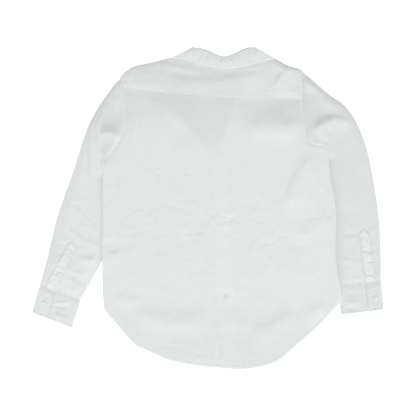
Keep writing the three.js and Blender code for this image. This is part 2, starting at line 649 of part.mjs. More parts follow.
// ---------------------------------------------------------------- cuffs
// The cuff runs from its under end, round the underarm fold, back below, round the overarm fold
// and over its own beginning.
function cuff(side) {
  const { outerTop, innerTop, outerEnd, innerEnd, overlap } = CUFFS[side];
  const level = (n) => CUFF_CLOTH / 2 + n * (CUFF_CLOTH + SEAM_GAP);
  const radius = level(1) - level(0);
  const grid = CUFF_ROWS.map(({ down, reach }) => {
    const a = [0, 1].map((k) => mix(outerTop[k], outerEnd[k], down));
    const b = [0, 1].map((k) => mix(innerTop[k], innerEnd[k], down));
    const width = Math.hypot(b[0] - a[0], b[1] - a[1]);
    const at = (w, z) => new THREE.Vector3(mix(a[0], b[0], w / width), mix(a[1], b[1], w / width), z);
    const lap = overlap * reach;
    return [
      at(CUFF_UNDER_END, level(1)),
      at(width * 0.4, level(1)),
      at(width * 0.7, level(1)),
      at(width - radius / 2, level(1)),
      at(width, (level(0) + level(1)) / 2),
      at(width - radius / 2, level(0)),
      at(width * 0.5, level(0)),
      at(radius, level(0)),
      at(radius * 0.3, mix(level(0), level(2), 0.15)),
      at(0, level(1)),
      at(radius * 0.3, mix(level(0), level(2), 0.85)),
      at(radius, level(2)),
      at(lap * 0.5, level(2)),
      at(lap, level(2)),
    ];
  });
  return wall(grid, { thickness: CUFF_CLOTH, folded: true });
}

// ---------------------------------------------------------------- buttons
function buttonShape() {
  const { diameter, thickness, rim, dish, segments } = BUTTON;
  const profile = [
    [0, 0],
    [diameter / 2 - rim, 0],
    [diameter / 2, rim],
    [diameter / 2, thickness - rim],
    [diameter / 2 - rim, thickness],
    [dish / 2 + rim, thickness],
    [dish / 2, thickness - rim],
    [0, thickness - rim],
  ];
  const lathe = new THREE.LatheGeometry(profile.map(([r, y]) => new THREE.Vector2(r, y)), segments);
  lathe.rotateX(Math.PI / 2);
  return lathe;
}

// ---------------------------------------------------------------- the shirt
const shirt = new THREE.Group();

function add(name, geometry, finish = LINEN) {
  const mesh = new THREE.Mesh(geometry, new THREE.MeshStandardMaterial(finish));
  mesh.name = name;
  shirt.add(mesh);
  return mesh;
}

add('back_panel', backPanel());
add('yoke', yoke());
add('collar_band', collarBand());
for (const side of ['left', 'right']) {
  add(`front_${side}`, front(side));
  add(`front_band_${side}`, frontBand(side));
  add(`sleeve_${side}`, sleeve(side));
  add(`sleeve_placket_${side}`, tower(side));
  add(`cuff_${side}`, cuff(side));
  const onTower = add(`placket_button_${side}`, buttonShape(), SHELL);
  const towerTop = SLEEVE_STACK + LAYER;
  onTower.position.set(...SLEEVE_BUTTONS[side].placket, towerTop);
  const onCuff = add(`cuff_button_${side}`, buttonShape(), SHELL);
  onCuff.position.set(...SLEEVE_BUTTONS[side].cuff, 3 * (CUFF_CLOTH + SEAM_GAP));
}
FRONT_BUTTONS.forEach((y, i) => {
  const mesh = add(`front_button_${i + 1}`, buttonShape(), SHELL);
  const band = along(BODY_ROWS, 'ly', 'band', y);
  mesh.rotation.x = Math.PI;
  mesh.position.set(band + BAND_WIDTH / 2, y, BUTTON.thickness);
});

// The origin is the middle of the bottom of the shirt's box.
const box = new THREE.Box3().setFromObject(shirt);
const middle = box.getCenter(new THREE.Vector3());
shirt.position.set(-middle.x, -middle.y, -box.min.z);

export default shirt;
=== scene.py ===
# %% [markdown]
# # A linen shirt, laid flat with its back up
#
# This lesson dresses the solid model of a long-sleeved, band-collared shirt in real cloth. The
# solids come packed in one frame. Each soft one is then replaced by a thin shell of linen that has
# the folds, seams and stitches of the real garment. Lengths are typed in millimetres, as a maker
# would, and turned into metres when a mesh is made.

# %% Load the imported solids
import math
import random

import bpy
import numpy as np
from mathutils import Matrix, Vector, noise
from mathutils.bvhtree import BVHTree


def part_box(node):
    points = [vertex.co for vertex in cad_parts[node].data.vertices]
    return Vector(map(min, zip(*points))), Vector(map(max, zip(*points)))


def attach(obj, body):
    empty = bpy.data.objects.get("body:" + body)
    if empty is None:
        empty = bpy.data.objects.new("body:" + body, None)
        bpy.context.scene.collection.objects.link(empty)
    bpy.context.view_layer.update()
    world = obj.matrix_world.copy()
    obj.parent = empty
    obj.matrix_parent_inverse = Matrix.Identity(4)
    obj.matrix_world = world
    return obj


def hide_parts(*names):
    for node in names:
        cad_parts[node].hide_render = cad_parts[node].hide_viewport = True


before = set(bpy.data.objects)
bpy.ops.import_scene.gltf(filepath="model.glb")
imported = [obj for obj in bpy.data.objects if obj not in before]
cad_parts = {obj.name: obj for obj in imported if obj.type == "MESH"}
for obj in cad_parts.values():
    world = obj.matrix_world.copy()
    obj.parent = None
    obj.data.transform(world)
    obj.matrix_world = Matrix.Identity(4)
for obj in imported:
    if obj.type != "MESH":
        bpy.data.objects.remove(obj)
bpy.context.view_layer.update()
bpy.ops.object.select_all(action="DESELECT")
MM = 0.001

# %% [markdown]
# ## The camera and the light
#
# The shirt lies on the ground, so the camera hangs straight above it. A 100 mm lens from more than
# two and a half metres up keeps the collar and the hem at the same scale. White linen shows its
# folds only in the light: a big soft source low beyond the hem rakes across the cloth, so that
# every fold has a bright side towards the hem and a dim one towards the collar. A faint bluish
# glow and the plain sky fill the rest.

# %% Camera, lamps, sky and floor
def add_object(name, data):
    """Puts new data into the scene."""
    thing = bpy.data.objects.new(name, data)
    bpy.context.scene.collection.objects.link(thing)
    return thing


def set_inputs(node, **values):
    """Types values into a node's inputs. A _ stands for a space in an input's name."""
    for name, value in values.items():
        node.inputs[name.replace("_", " ")].default_value = value


def area_lamp(name, energy, size, place, aim):
    """A soft lamp at a place, in metres, that faces its aim."""
    data = bpy.data.lights.new(name, "AREA")
    data.energy = energy
    data.size = size
    lamp = add_object(name, data)
    lamp.location = place
    lamp.rotation_euler = (Vector(aim) - lamp.location).to_track_quat("-Z", "Y").to_euler()
    return data


SIGHT = 0.9568  # metres of ground that the frame shows from side to side
camera_data = bpy.data.cameras.new("camera")
camera_data.lens = 100
camera_data.sensor_width = 36
camera = add_object("camera", camera_data)
camera.location = (0, 0, SIGHT * camera_data.lens / camera_data.sensor_width)
bpy.context.scene.camera = camera

window = area_lamp("window", 275, 4.2, (1.1, -6.3, 3.6), (0, 0.1, 0))
window.shape = "RECTANGLE"
window.size_y = 2.2
sky_glow = area_lamp("sky_glow", 0.75, 1.2, (0, -1.15, 0.7), (0, -0.1, 0))
sky_glow.color = (0.3, 0.46, 1.0)

sky = bpy.data.worlds.new("sky")
sky.use_nodes = True
set_inputs(sky.node_tree.nodes["Background"], Color=(1, 1, 1, 1), Strength=0.925)
bpy.context.scene.world = sky
bpy.context.scene.view_settings.view_transform = "Standard"

bpy.ops.mesh.primitive_plane_add(size=60, location=(0, 0, -0.0004))
floor = bpy.context.active_object
floor.name = "floor"
paper = bpy.data.materials.new("white_ground")
paper.use_nodes = True
set_inputs(
    paper.node_tree.nodes["Principled BSDF"],
    Base_Color=(0.5, 0.5, 0.5, 1), Roughness=0.9, Emission_Color=(1, 1, 1, 1), Emission_Strength=0.72,
)
floor.data.materials.append(paper)
bpy.ops.object.select_all(action="DESELECT")
print("camera", round(camera.location.z, 3), "m up")

# %% [markdown]
# ## Linen
#
# Linen is a plain weave: each thread goes over one and under the next. The yarn is uneven, so
# thicker stretches, called slubs, run along both directions. The pattern has to follow the cloth,
# so every piece carries a UV map in metres of cut cloth. The weave is a node group, because all
# pieces share it, and it gives out only a height and a tone.

# %% The weave as a node group
def link(tree, *pairs):
    """Links output to input, pair by pair."""
    for out, into in pairs:
        tree.links.new(out, into)


def math_node(tree, operation, a, b=None, c=None):
    """A Math node on numbers or sockets, and its output."""
    node = tree.nodes.new("ShaderNodeMath")
    node.operation = operation
    for i, value in enumerate((a, b, c)):
        if value is None:
            continue
        if isinstance(value, (int, float)):
            node.inputs[i].default_value = value
        else:
            tree.links.new(value, node.inputs[i])
    return node.outputs[0]


THREAD = 0.00062  # distance between threads
weave = bpy.data.node_groups.new("linen_weave", "ShaderNodeTree")
weave.interface.new_socket("Cloth", in_out="INPUT", socket_type="NodeSocketVector")
weave.interface.new_socket("Height", in_out="OUTPUT", socket_type="NodeSocketFloat")
weave.interface.new_socket("Tone", in_out="OUTPUT", socket_type="NodeSocketFloat")
inside = weave.nodes.new("NodeGroupInput")
outside = weave.nodes.new("NodeGroupOutput")


def slubs(run, across):
    """Uneven yarn: noise drawn out along one direction."""
    stretch = weave.nodes.new("ShaderNodeMapping")
    stretch.inputs["Scale"].default_value = (run, across, 1)
    spots = weave.nodes.new("ShaderNodeTexNoise")
    set_inputs(spots, Scale=1, Detail=3)
    link(weave, (inside.outputs["Cloth"], stretch.inputs["Vector"]))
    link(weave, (stretch.outputs["Vector"], spots.inputs["Vector"]))
    return spots.outputs["Fac"]


weft_slubs = slubs(38, 900)
warp_slubs = slubs(900, 32)
split = weave.nodes.new("ShaderNodeSeparateXYZ")
link(weave, (inside.outputs["Cloth"], split.inputs["Vector"]))
warp = math_node(weave, "SINE", math_node(weave, "MULTIPLY", split.outputs["X"], math.pi / THREAD))
weft = math_node(weave, "SINE", math_node(weave, "MULTIPLY", split.outputs["Y"], math.pi / THREAD))
checks = math_node(weave, "MULTIPLY", warp, weft)
uneven = math_node(weave, "ADD", weft_slubs, warp_slubs)
height = math_node(weave, "MULTIPLY_ADD", checks, 0.35, math_node(weave, "MULTIPLY", uneven, 0.9))
tone = math_node(weave, "MULTIPLY_ADD", uneven, 0.08, 0.92)
tone = math_node(weave, "MULTIPLY_ADD", checks, 0.012, tone)
link(weave, (height, outside.inputs["Height"]), (tone, outside.inputs["Tone"]))
print("weave of", round(THREAD / MM, 2), "mm threads")

# %% [markdown]
# One linen serves the whole shirt, and each piece tells it more through attributes. The cloth is
# thin enough to let what lies beneath show, and this is painted: one attribute below zero darkens
# it where the open neck of the fronts leaves only the dim ground behind, and above zero makes it
# paler over the doubled front band. The same attribute also carries painted shade, in hollows,
# creases, beside raised edges and towards the tail. The other attribute is painted warm shade,
# deepest in an armpit's hollow.

# %% The linen material
LINEN = (0.652, 0.678, 0.668)
DIM = (0.9, 0.909, 0.896)  # share of each colour left at full painted shade, and where the ground shows through
PALE = 1.03  # and where doubled cloth does
WARM_SHADE_COLOUR = (0.55, 0.552, 0.5)  # the colour of painted warm shade deep in an armpit


def attribute(tree, name):
    """The value of an attribute of the piece."""
    node = tree.nodes.new("ShaderNodeAttribute")
    node.attribute_name = name
    return node.outputs["Fac"]


def blend_colour(tree, factor, a, b, blend="MIX"):
    """Blends two colours, typed or from sockets, by a number or a socket's value."""
    node = tree.nodes.new("ShaderNodeMix")
    node.data_type = "RGBA"
    node.blend_type = blend
    node.clamp_factor = True
    colours = {s.name: s for s in node.inputs if s.type == "RGBA"}
    for slot, value in ((node.inputs["Factor"], factor), (colours["A"], a), (colours["B"], b)):
        if isinstance(value, tuple):
            slot.default_value = (*value, 1)
        elif isinstance(value, (int, float)):
            slot.default_value = value
        else:
            link(tree, (value, slot))
    return [s for s in node.outputs if s.type == "RGBA"][0]


def make_linen(name, lighter=1.0, rough=0.86, crumpled=0.18):
    """Linen, with its own lightness, roughness and share of fine crumple."""
    colour = tuple(c * lighter for c in LINEN)
    made = bpy.data.materials.new(name)
    made.use_nodes = True
    tree = made.node_tree
    shader = tree.nodes["Principled BSDF"]
    cut = tree.nodes.new("ShaderNodeUVMap")
    cut.uv_map = "cloth"
    woven = tree.nodes.new("ShaderNodeGroup")
    woven.node_tree = weave
    # painted shade and show-through: below zero the colour dims, above zero it pales; painted warm
    # shade then tints it
    painted_shade_and_show_through = attribute(tree, "painted_shade_and_show_through")
    darker = math_node(tree, "MULTIPLY", painted_shade_and_show_through, -1)
    shown = blend_colour(tree, darker, colour, tuple(c * k for c, k in zip(colour, DIM)))
    shown = blend_colour(tree, painted_shade_and_show_through, shown, tuple(c * PALE for c in colour))
    shown = blend_colour(tree, attribute(tree, "painted_warm_shade"), shown, WARM_SHADE_COLOUR)
    toned = blend_colour(tree, 1, shown, woven.outputs["Tone"], "MULTIPLY")
    place = tree.nodes.new("ShaderNodeTexCoord")
    rumple = tree.nodes.new("ShaderNodeTexNoise")
    set_inputs(rumple, Scale=95, Detail=5, Roughness=0.55, Distortion=0.9)
    soft = tree.nodes.new("ShaderNodeBump")
    set_inputs(soft, Strength=crumpled, Distance=0.0016)
    fine = tree.nodes.new("ShaderNodeBump")
    set_inputs(fine, Strength=0.34, Distance=0.00016)
    link(
        tree,
        (cut.outputs["UV"], woven.inputs["Cloth"]),
        (toned, shader.inputs["Base Color"]),
        (place.outputs["Object"], rumple.inputs["Vector"]),
        (rumple.outputs["Fac"], soft.inputs["Height"]),
        (soft.outputs["Normal"], fine.inputs["Normal"]),
        (woven.outputs["Height"], fine.inputs["Height"]),
        (fine.outputs["Normal"], shader.inputs["Normal"]),
    )
    set_inputs(shader, Roughness=rough, Specular_IOR_Level=0.25, Sheen_Weight=0.08, Sheen_Roughness=0.5)
    return made


linen = make_linen("linen", crumpled=0.34)
linen_doubled = make_linen("linen_doubled", 1.012)
thread = make_linen("linen_thread", 1.06, rough=0.7)
print("materials:", linen.name, linen_doubled.name, thread.name)

# %% [markdown]
# ## Lines and folds
#
# Cloth is drawn from lines. `through` bends a smooth line through a few given points. A fold
# is a line too, with a height, and a width on each side of it, because a fold leans: one flank is
# steep and the other runs out. Below zero, the height makes a trough.

# %% Helpers for lines and folds
BACK_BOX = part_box("back_panel")
WIDEST_LEFT, SEAM_LEFT = -244.5, 275  # the same corners in the maker's own measures
SHIFT = np.array([BACK_BOX[0].x / MM - WIDEST_LEFT, BACK_BOX[1].y / MM - SEAM_LEFT, 0])


def through(points, count):
    """A smooth line through the points, as count points evenly spaced along it."""
    p = np.array(points, float)
    ends = np.vstack([2 * p[0] - p[1], p, 2 * p[-1] - p[-2]])
    t = np.linspace(0, 1, 17)[:-1, None]
    spans = []
    for a, b, c, d in zip(ends, ends[1:], ends[2:], ends[3:]):
        squared, cubed = 2 * a - 5 * b + 4 * c - d, 3 * b - a - 3 * c + d
        spans.append((2 * b + (c - a) * t + squared * t**2 + cubed * t**3) / 2)
    fine = np.vstack([*spans, p[-1:]])
    run = np.concatenate([[0], np.cumsum(np.linalg.norm(np.diff(fine, axis=0), axis=1))])
    at = np.linspace(0, run[-1], count)
    return np.column_stack([np.interp(at, run, fine[:, k]) for k in range(p.shape[1])])


def ease(t):
    """0 below 0, 1 above 1, and smooth between."""
    t = np.clip(t, 0, 1)
    return t * t * (3 - 2 * t)


def mix(a, b, t):
    """The value a share t of the way from a to b."""
    return a + (b - a) * t


def bump(v, at, width):
    """1 where v is at, and next to nothing two widths away."""
    return np.exp(-(((v - at) / width) ** 2))


def round_edge(away, radius):
    """A quarter circle: 0 at an edge, 1 from a radius away."""
    return np.sqrt(np.clip(1 - (1 - np.minimum(away, radius) / radius) ** 2, 0, 1))


def from_edges(x, y):
    """Distances along each row of a grid from its first and from its last point."""
    return np.hypot(x - x[:, :1], y - y[:, :1]), np.hypot(x - x[:, -1:], y - y[:, -1:])


def near_path(x, y, path):
    """Distance to a path, share of its length at the nearest point, and whether it lies on the left."""
    far = np.full(x.shape, 1e9)
    share = np.zeros(x.shape)
    on_left = np.zeros(x.shape, bool)
    lengths = np.linalg.norm(np.diff(path, axis=0), axis=1)
    run = 0.0
    for (ax, ay), (bx, by), length in zip(path[:-1], path[1:], lengths):
        dx, dy = (bx - ax) / length, (by - ay) / length
        t = np.clip((x - ax) * dx + (y - ay) * dy, 0, length)
        ox, oy = x - ax - t * dx, y - ay - t * dy
        away = np.hypot(ox, oy)
        closer = away < far
        far = np.where(closer, away, far)
        share = np.where(closer, (run + t) / lengths.sum(), share)
        on_left = np.where(closer, dx * oy - dy * ox > 0, on_left)
        run += length
    return far, share, on_left


CRISP = 6.5  # a fold narrower than this, in millimetres, is pressed to a sharp crest


def folds(x, y, table):
    """Sum at every point of a table of folds: height, width on the left, on the right, path."""
    total = np.zeros(x.shape)
    for height, left, right, points in table:
        path = through(points, 3 * len(points) + 2) if len(points) > 2 else np.array(points, float)
        reach = 2.6 * max(left, right)
        low, high = path.min(0) - reach, path.max(0) + reach
        near = (x > low[0]) & (x < high[0]) & (y > low[1]) & (y < high[1])
        if not near.any():
            continue
        away, share, on_left = near_path(x[near], y[near], path)
        width = np.where(on_left, left, right)
        ends = ease(share / 0.3) * ease((1 - share) / 0.3)
        soft = bump(away, 0, width)
        crisp = np.exp(-(np.sqrt(away**2 + 0.6) - 0.77) / (0.8 * width))
        total[near] += height * np.where(min(left, right) < CRISP, 0.62 * crisp, soft) * ends
    return total


print("frame shift", SHIFT[:2].round(2), "mm")

# %% [markdown]
# Linen also keeps a fine crumple wherever it has been sat on or carried. Two things make it:
# ridged noise, for the soft broken ground, and many short straight creases that cross at odd
# angles. Their seeds are fixed, so the shirt is the same each time.

# %% Helpers for crumple
def ridged(x, y, size, seed):
    """Ridged noise about size millimetres across, from about -1 to 1."""
    flat = [
        noise.ridged_multi_fractal(Vector((px / size, py / size, seed)), 0.9, 2.2, 4, 0.85, 1.5)
        for px, py in zip(x.ravel(), y.ravel())
    ]
    values = np.array(flat).reshape(x.shape)
    return (values - values.mean()) / (2.2 * values.std() + 1e-9)


def soft_noise(x, y, size, seed):
    """Gentle noise about size millimetres across, from about -1 to 1."""
    flat = [
        noise.fractal(Vector((px / size, py / size, seed)), 1.0, 2.0, 3)
        for px, py in zip(x.ravel(), y.ravel())
    ]
    return np.array(flat).reshape(x.shape)


def small_creases(x, y, zones, seed):
    """Short straight creases. A zone is a middle, a reach across and along, a count and a height."""
    pick = random.Random(seed)
    table = []
    for cx, cy, rx, ry, count, height in zones:
        for _ in range(count):
            px, py = pick.gauss(cx, rx / 2), pick.gauss(cy, ry / 2)
            turn = pick.uniform(0, math.pi)
            half = pick.uniform(9, 32)
            h = height * pick.uniform(0.4, 1.2) * pick.choice((1, 1, -1))
            steep = pick.uniform(2.3, 3.8)
            way_x, way_y = half * math.cos(turn), half * math.sin(turn)
            ends = [(px - way_x, py - way_y), (px + way_x, py + way_y)]
            table.append((h, steep, steep * pick.uniform(1, 2.6), ends))
    return folds(x, y, table)


tried = ridged(*np.meshgrid(np.arange(0.0, 300, 30), np.arange(0.0, 300, 30)), 52, 3.1)
print("a patch of crumple runs from", tried.min().round(2), "to", tried.max().round(2))

# %% [markdown]
# ## From a grid to a piece of cloth
#
# Every piece is a grid of points: rows along the cloth, columns across. The grid becomes a sheet,
# and Solidify gives the sheet its thickness, downwards or inwards, so that the drawn face is the
# one that shows. The piece then rides on the shirt and stands for its solid.

# %% Build, thicken and declare a piece
CLOTH = 0.5  # thickness of the linen


def select_only(piece):
    """Selects one piece and makes it the active one."""
    bpy.ops.object.select_all(action="DESELECT")
    piece.select_set(True)
    bpy.context.view_layer.objects.active = piece


def as_mesh(name, grid, rounded=False, keep=None, cut=None, marks=None):
    """A sheet on a grid of points. rounded joins the last column to the first, keep drops cells, cut
    is its width and length before it is sewn, and marks are the attributes that its linen reads."""
    rows, columns = grid.shape[:2]
    cells = columns if rounded else columns - 1
    faces, corners = [], []
    for r in range(rows - 1):
        for c in range(cells):
            if keep is not None and not keep[r, c]:
                continue
            d = (c + 1) % columns
            here, above = r * columns, (r + 1) * columns
            faces.append((here + c, here + d, above + d, above + c))
            corners.append(((r, c), (r, c + 1), (r + 1, c + 1), (r + 1, c)))
    places = grid + SHIFT
    quads = places.reshape(-1, 3)[np.array(faces)]
    quads = quads[quads[..., 2].mean(1) >= np.median(quads[..., 2].mean(1))]  # the upper layer
    facing = np.cross(quads[:, 1] - quads[:, 0], quads[:, 2] - quads[:, 0])[:, 2].sum()
    if facing < 0:
        faces = [f[::-1] for f in faces]
        corners = [k[::-1] for k in corners]
    mesh = bpy.data.meshes.new(name)
    mesh.from_pydata((places.reshape(-1, 3) * MM).tolist(), [], faces)
    width, length = cut
    layer = mesh.uv_layers.new(name="cloth")
    flat = np.array([(c / cells * width, r / (rows - 1) * length) for k in corners for r, c in k])
    layer.data.foreach_set("uv", (flat * MM).ravel())
    for key, values in (marks or {}).items():
        held = mesh.attributes.new(key, "FLOAT", "POINT")
        held.data.foreach_set("value", np.ascontiguousarray(values, dtype=np.float32).ravel())
    mesh.shade_smooth()
    piece = add_object(name, mesh)
    if keep is not None:
        select_only(piece)
        bpy.ops.object.mode_set(mode="EDIT")
        bpy.ops.mesh.select_all(action="SELECT")
        bpy.ops.mesh.delete_loose()
        bpy.ops.object.mode_set(mode="OBJECT")
    return piece


def apply_modifier(piece, kind, **settings):
    """Adds a modifier with its settings, and applies it."""
    select_only(piece)
    bpy.ops.object.modifier_add(type=kind)
    modifier = piece.modifiers[-1]
    for key, value in settings.items():
        setattr(modifier, key, value)
    bpy.ops.object.modifier_apply(modifier=modifier.name)
    piece.select_set(False)


def smooth_below(piece, degrees):
    """Shades a piece smooth, but for edges sharper than the angle."""
    select_only(piece)
    bpy.ops.object.shade_smooth_by_angle(angle=math.radians(degrees))
    piece.select_set(False)


def declare(piece, finish, slot, *nodes):
    """Gives a piece its material, lets it ride on the shirt and stand for its solids."""
    piece.data.materials.clear()
    piece.data.materials.append(finish)
    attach(piece, "root")
    if nodes:
        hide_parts(*nodes)
    piece.data.calc_loop_triangles()
    area = sum(p.area for p in piece.data.polygons)
    print(f"{piece.name}: {len(piece.data.loop_triangles)} triangles, {area:.4f} m2")


def sheet_of_linen(name, grid, nodes, flat, thickness=CLOTH, finish=None, rests_on=(), **options):
    piece = as_mesh(name, grid, **options)
    apply_modifier(piece, "SOLIDIFY", thickness=thickness * MM, offset=-1, use_even_offset=False)
    for vertex in piece.data.vertices:
        vertex.co.z = max(vertex.co.z, 0)  # nothing sinks into the ground
    smooth_below(piece, 55)
    declare(piece, finish or linen, "linen", *nodes)
    return piece


print("linen is", CLOTH, "mm thick")

# %% [markdown]
# ## The back
#
# The back is one panel from the yoke seam to the shirt-tail hem. Its rows are set by both ends and
# by how far the middle falls below them, which gives the tail its curve. It lies over both fronts,
# and its side edges lie over the sleeves, so they ride a little higher there.

# %% The body's outline
# left x and y, right x and y, fall of the middle, and whether the left and right edges lie on a
# sleeve, from 0 to 1
BODY = [
    (-238.5, -236, 310.5, -213, 149, 0, 1),
    (-239.5, -222, 308, -200, 148.5, 0, 1),
    (-241.5, -200, 303.5, -180, 112, 0, 1),
    (-242.5, -175, 299, -158, 76, 0, 1),
    (-243, -150, 296, -135, 46, 0.2, 1),
    (-243, -126, 293, -110, 26, 1, 1),
    (-242.5, -80, 293.5, -66, 12, 1, 1),
    (-241.5, -30, 294.5, -17, 5, 1, 1),
    (-242, 12, 290, 24, 0, 1, 1),
    (-242.5, 45, 283, 62, 0, 1, 1),
    (-243.9, 83, 275, 125, 0, 1, 1),
    (-244.5, 93, 274, 137, 0, 1, 1),
    (-230, 121, 255, 143, 0, 1, 1),
    (-209, 149.5, 237, 149, 0, 0.5, 0.5),
    (-193, 178, 226, 172, 0, 0, 0),
    (-186.5, 212, 219, 205, 3, 0, 0),
    (-188, 245, 217.5, 232, 5, 0, 0),
    (-193, 275, 217, 250, 8, 0, 0),
]
# share across the back, and share of the middle's fall: the curve of the tail
TAIL = [
    (0, 0), (0.123, 0.53), (0.158, 0.614), (0.223, 0.727), (0.27, 0.81), (0.367, 0.9), (0.463, 0.958),
    (0.583, 1), (0.687, 0.95), (0.735, 0.876), (0.767, 0.785), (0.89, 0.4), (0.952, 0.171), (1, 0),
]


def body_grid(table, rows, columns):
    """x, y, share across, distances from both side edges, and whether each lies on a sleeve."""
    ends = through(table, rows)
    tail = through(TAIL, 200)
    u = np.linspace(0, 1, columns)[None, :]
    lx, ly, rx, ry, fall, on_left, on_right = (ends[:, k][:, None] for k in range(7))
    x = mix(lx, rx, u)
    y = mix(ly, ry, u) - fall * np.interp(u, tail[:, 0], tail[:, 1])
    width = rx - lx
    return x, y, u, width * u, width * (1 - u), np.clip(on_left, 0, 1), np.clip(on_right, 0, 1)


x, y, u, from_left, from_right, on_left, on_right = body_grid(BODY, 232, 206)
hem_line = np.column_stack([x[0], y[0]])
print("back grid", x.shape, "cells about", round(float(from_left[0, 1]), 2), "mm wide")

# %% [markdown]
# The big folds come first, each with its own size. On the right a long fold runs down from the
# armhole, and a shorter one lies across the shoulder blade. The seat carries a wide roll just
# above the tail. Light comes from the hem side, so each roll's upper flank is the dim one.

# %% Folds of the back
# height, width on the left, width on the right, path
BACK_FOLDS = [
    (5.2, 40, 17, [(250, 134), (230, 104), (211, 75), (197, 42), (187, 10), (173, -18)]),
    (-1.3, 6, 5, [(177, -32), (170, -52), (160, -70)]),
    (5.4, 21, 27, [(82, 176), (118, 184), (160, 184), (214, 170)]),
    (1.6, 10, 16, [(96, 208), (140, 214), (190, 208)]),
    (1.6, 4, 4, [(-168, 262), (-168, 215), (-169, 175), (-174, 138)]),
    (-1.3, 4, 4, [(-158, 260), (-159, 210), (-161, 176)]),
    (2.2, 15, 12, [(-236, 128), (-243, 96), (-245, 62), (-243, 20)]),
    (-1.8, 6, 7, [(-197, 94), (-209, 48), (-218, 12)]),
    (-1.3, 4, 4, [(-240, 53), (-226, 55), (-208, 56)]),
    (-1.6, 15, 15, [(-232, -70), (-222, -86), (-210, -106)]),
    (1.5, 12, 18, [(-238, -104), (-218, -112), (-196, -112)]),
    (2.3, 19, 26, [(196, -80), (230, -54), (262, -30), (290, -10)]),
    (-1.6, 15, 15, [(176, -86), (200, -88), (222, -98)]),
    (-1.1, 4, 5, [(214, -32), (240, -22), (276, -24)]),
    (0.9, 7, 9, [(246, 74), (256, 56), (262, 34)]),
    (-2.0, 6, 6, [(268, -14), (284, -24)]),
    (4.9, 24, 26, [(-184, -234), (-136, -252), (-80, -262), (-28, -258), (18, -242)]),
    (2.2, 19, 25, [(10, -250), (60, -262), (112, -268)]),
    (3.9, 19, 26, [(90, -282), (130, -282), (165, -266), (204, -234)]),
    (2.4, 13, 22, [(214, -247), (240, -240), (270, -222)]),
    (1.5, 9, 14, [(-214, -198), (-180, -214), (-150, -212)]),
    (-1.3, 5, 5, [(-140, -322), (-88, -318), (-52, -330), (-14, -338), (20, -338)]),
    (1.1, 5, 6, [(-50, -347), (8, -348), (72, -360)]),
    (-1.0, 4, 4, [(22, -341), (50, -343), (80, -349)]),
    (-1.1, 5, 4, [(104, -326), (130, -334), (158, -338)]),
    (-0.8, 4, 3, [(68, -306), (98, -305)]),
    (-0.8, 3, 3, [(74, -283), (106, -286)]),
    (0.7, 3, 3, [(-80, -231), (-62, -248)]),
    (-0.9, 4, 4, [(180, -232), (196, -240), (210, -230)]),
    (0.8, 20, 20, [(-120, 60), (-60, 20), (0, -10)]),
    (0.9, 18, 26, [(60, 120), (100, 60), (120, 10)]),
    (0.8, 22, 22, [(-190, -20), (-120, -120), (-60, -170)]),
    (0.8, 18, 24, [(120, -110), (180, -150), (240, -170)]),
    (0.7, 16, 20, [(-110, 200), (-130, 120), (-140, 40)]),
]
SHARP_CREASES = [
    (-0.9, 3.4, 4.5, [(238, 133), (212, 96), (196, 78), (178, 40), (168, 5)]),
    (1.1, 3.2, 4.5, [(-60, 33), (-28, 6), (5, -24), (24, -43), (36, -68), (48, -91)]),
    (-1.0, 3.2, 3.6, [(-113, 15), (-83, 5), (-44, -8), (-28, -13)]),
    (-0.9, 3.4, 3.4, [(-92, -42), (-72, -56), (-40, -60), (8, -51), (24, -46)]),
    (-1.0, 3, 4, [(-136, 13), (-126, 0), (-115, -13)]),
    (-0.9, 3.4, 3.4, [(-188, -65), (-168, -56), (-147, -46)]),
    (0.5, 3, 3, [(-237, -78), (-196, -70), (-150, -73), (-110, -66)]),
    (-1.0, 3, 3, [(-67, -74), (-40, -74), (-12, -76)]),
    (-1.3, 3.2, 3.2, [(27, -19), (44, -22), (62, -21)]),
    (-1.7, 2.8, 3.4, [(31, -31), (44, -32), (59, -30)]),
    (-1.3, 3, 3.6, [(8, -19), (14, -15), (21, -12)]),
    (-1.0, 3, 3, [(46, -26), (58, -25), (71, -32)]),
    (-1.1, 3, 3.6, [(74, -12), (97, -22), (131, -18), (147, -36), (155, -48)]),
    (-1.2, 3.2, 3.2, [(100, -23), (113, -30), (127, -37)]),
    (-1.0, 3.2, 3.2, [(113, -75), (143, -82), (173, -65), (208, -70), (243, -74)]),
    (-1.2, 3.4, 3.4, [(-121, 82), (-112, 78), (-103, 77)]),
    (-0.9, 2.8, 3, [(-30, -37), (8, -80), (25, -98)]),
    (-0.9, 3, 3, [(1, -117), (16, -128)]),
    (0.8, 3, 3, [(-202, -36), (-140, 3)]),
    (0.9, 3, 4, [(-44, -60), (-20, -100), (-30, -140)]),
    (-0.8, 3, 3, [(60, -60), (90, -95), (80, -130)]),
    (0.8, 3, 3.5, [(-150, -60), (-120, -95), (-95, -150)]),
    (-0.8, 3, 3, [(-60, -110), (-10, -140), (20, -160)]),
    (0.8, 3, 3, [(120, -120), (90, -150), (50, -160)]),
    (-0.7, 3, 3, [(-20, 60), (-46, 78), (-70, 84)]),
    (0.7, 3, 3, [(58, 60), (66, 40), (86, 30)]),
    (-0.8, 3, 3, [(66, 18), (96, 8), (124, 20)]),
    (0.8, 3, 3, [(-210, -160), (-160, -184), (-130, -176)]),
    (0.8, 3, 3, [(0, -182), (60, -190), (110, -210), (160, -214)]),
    (-0.7, 3, 3, [(140, -150), (176, -176), (200, -180)]),
]
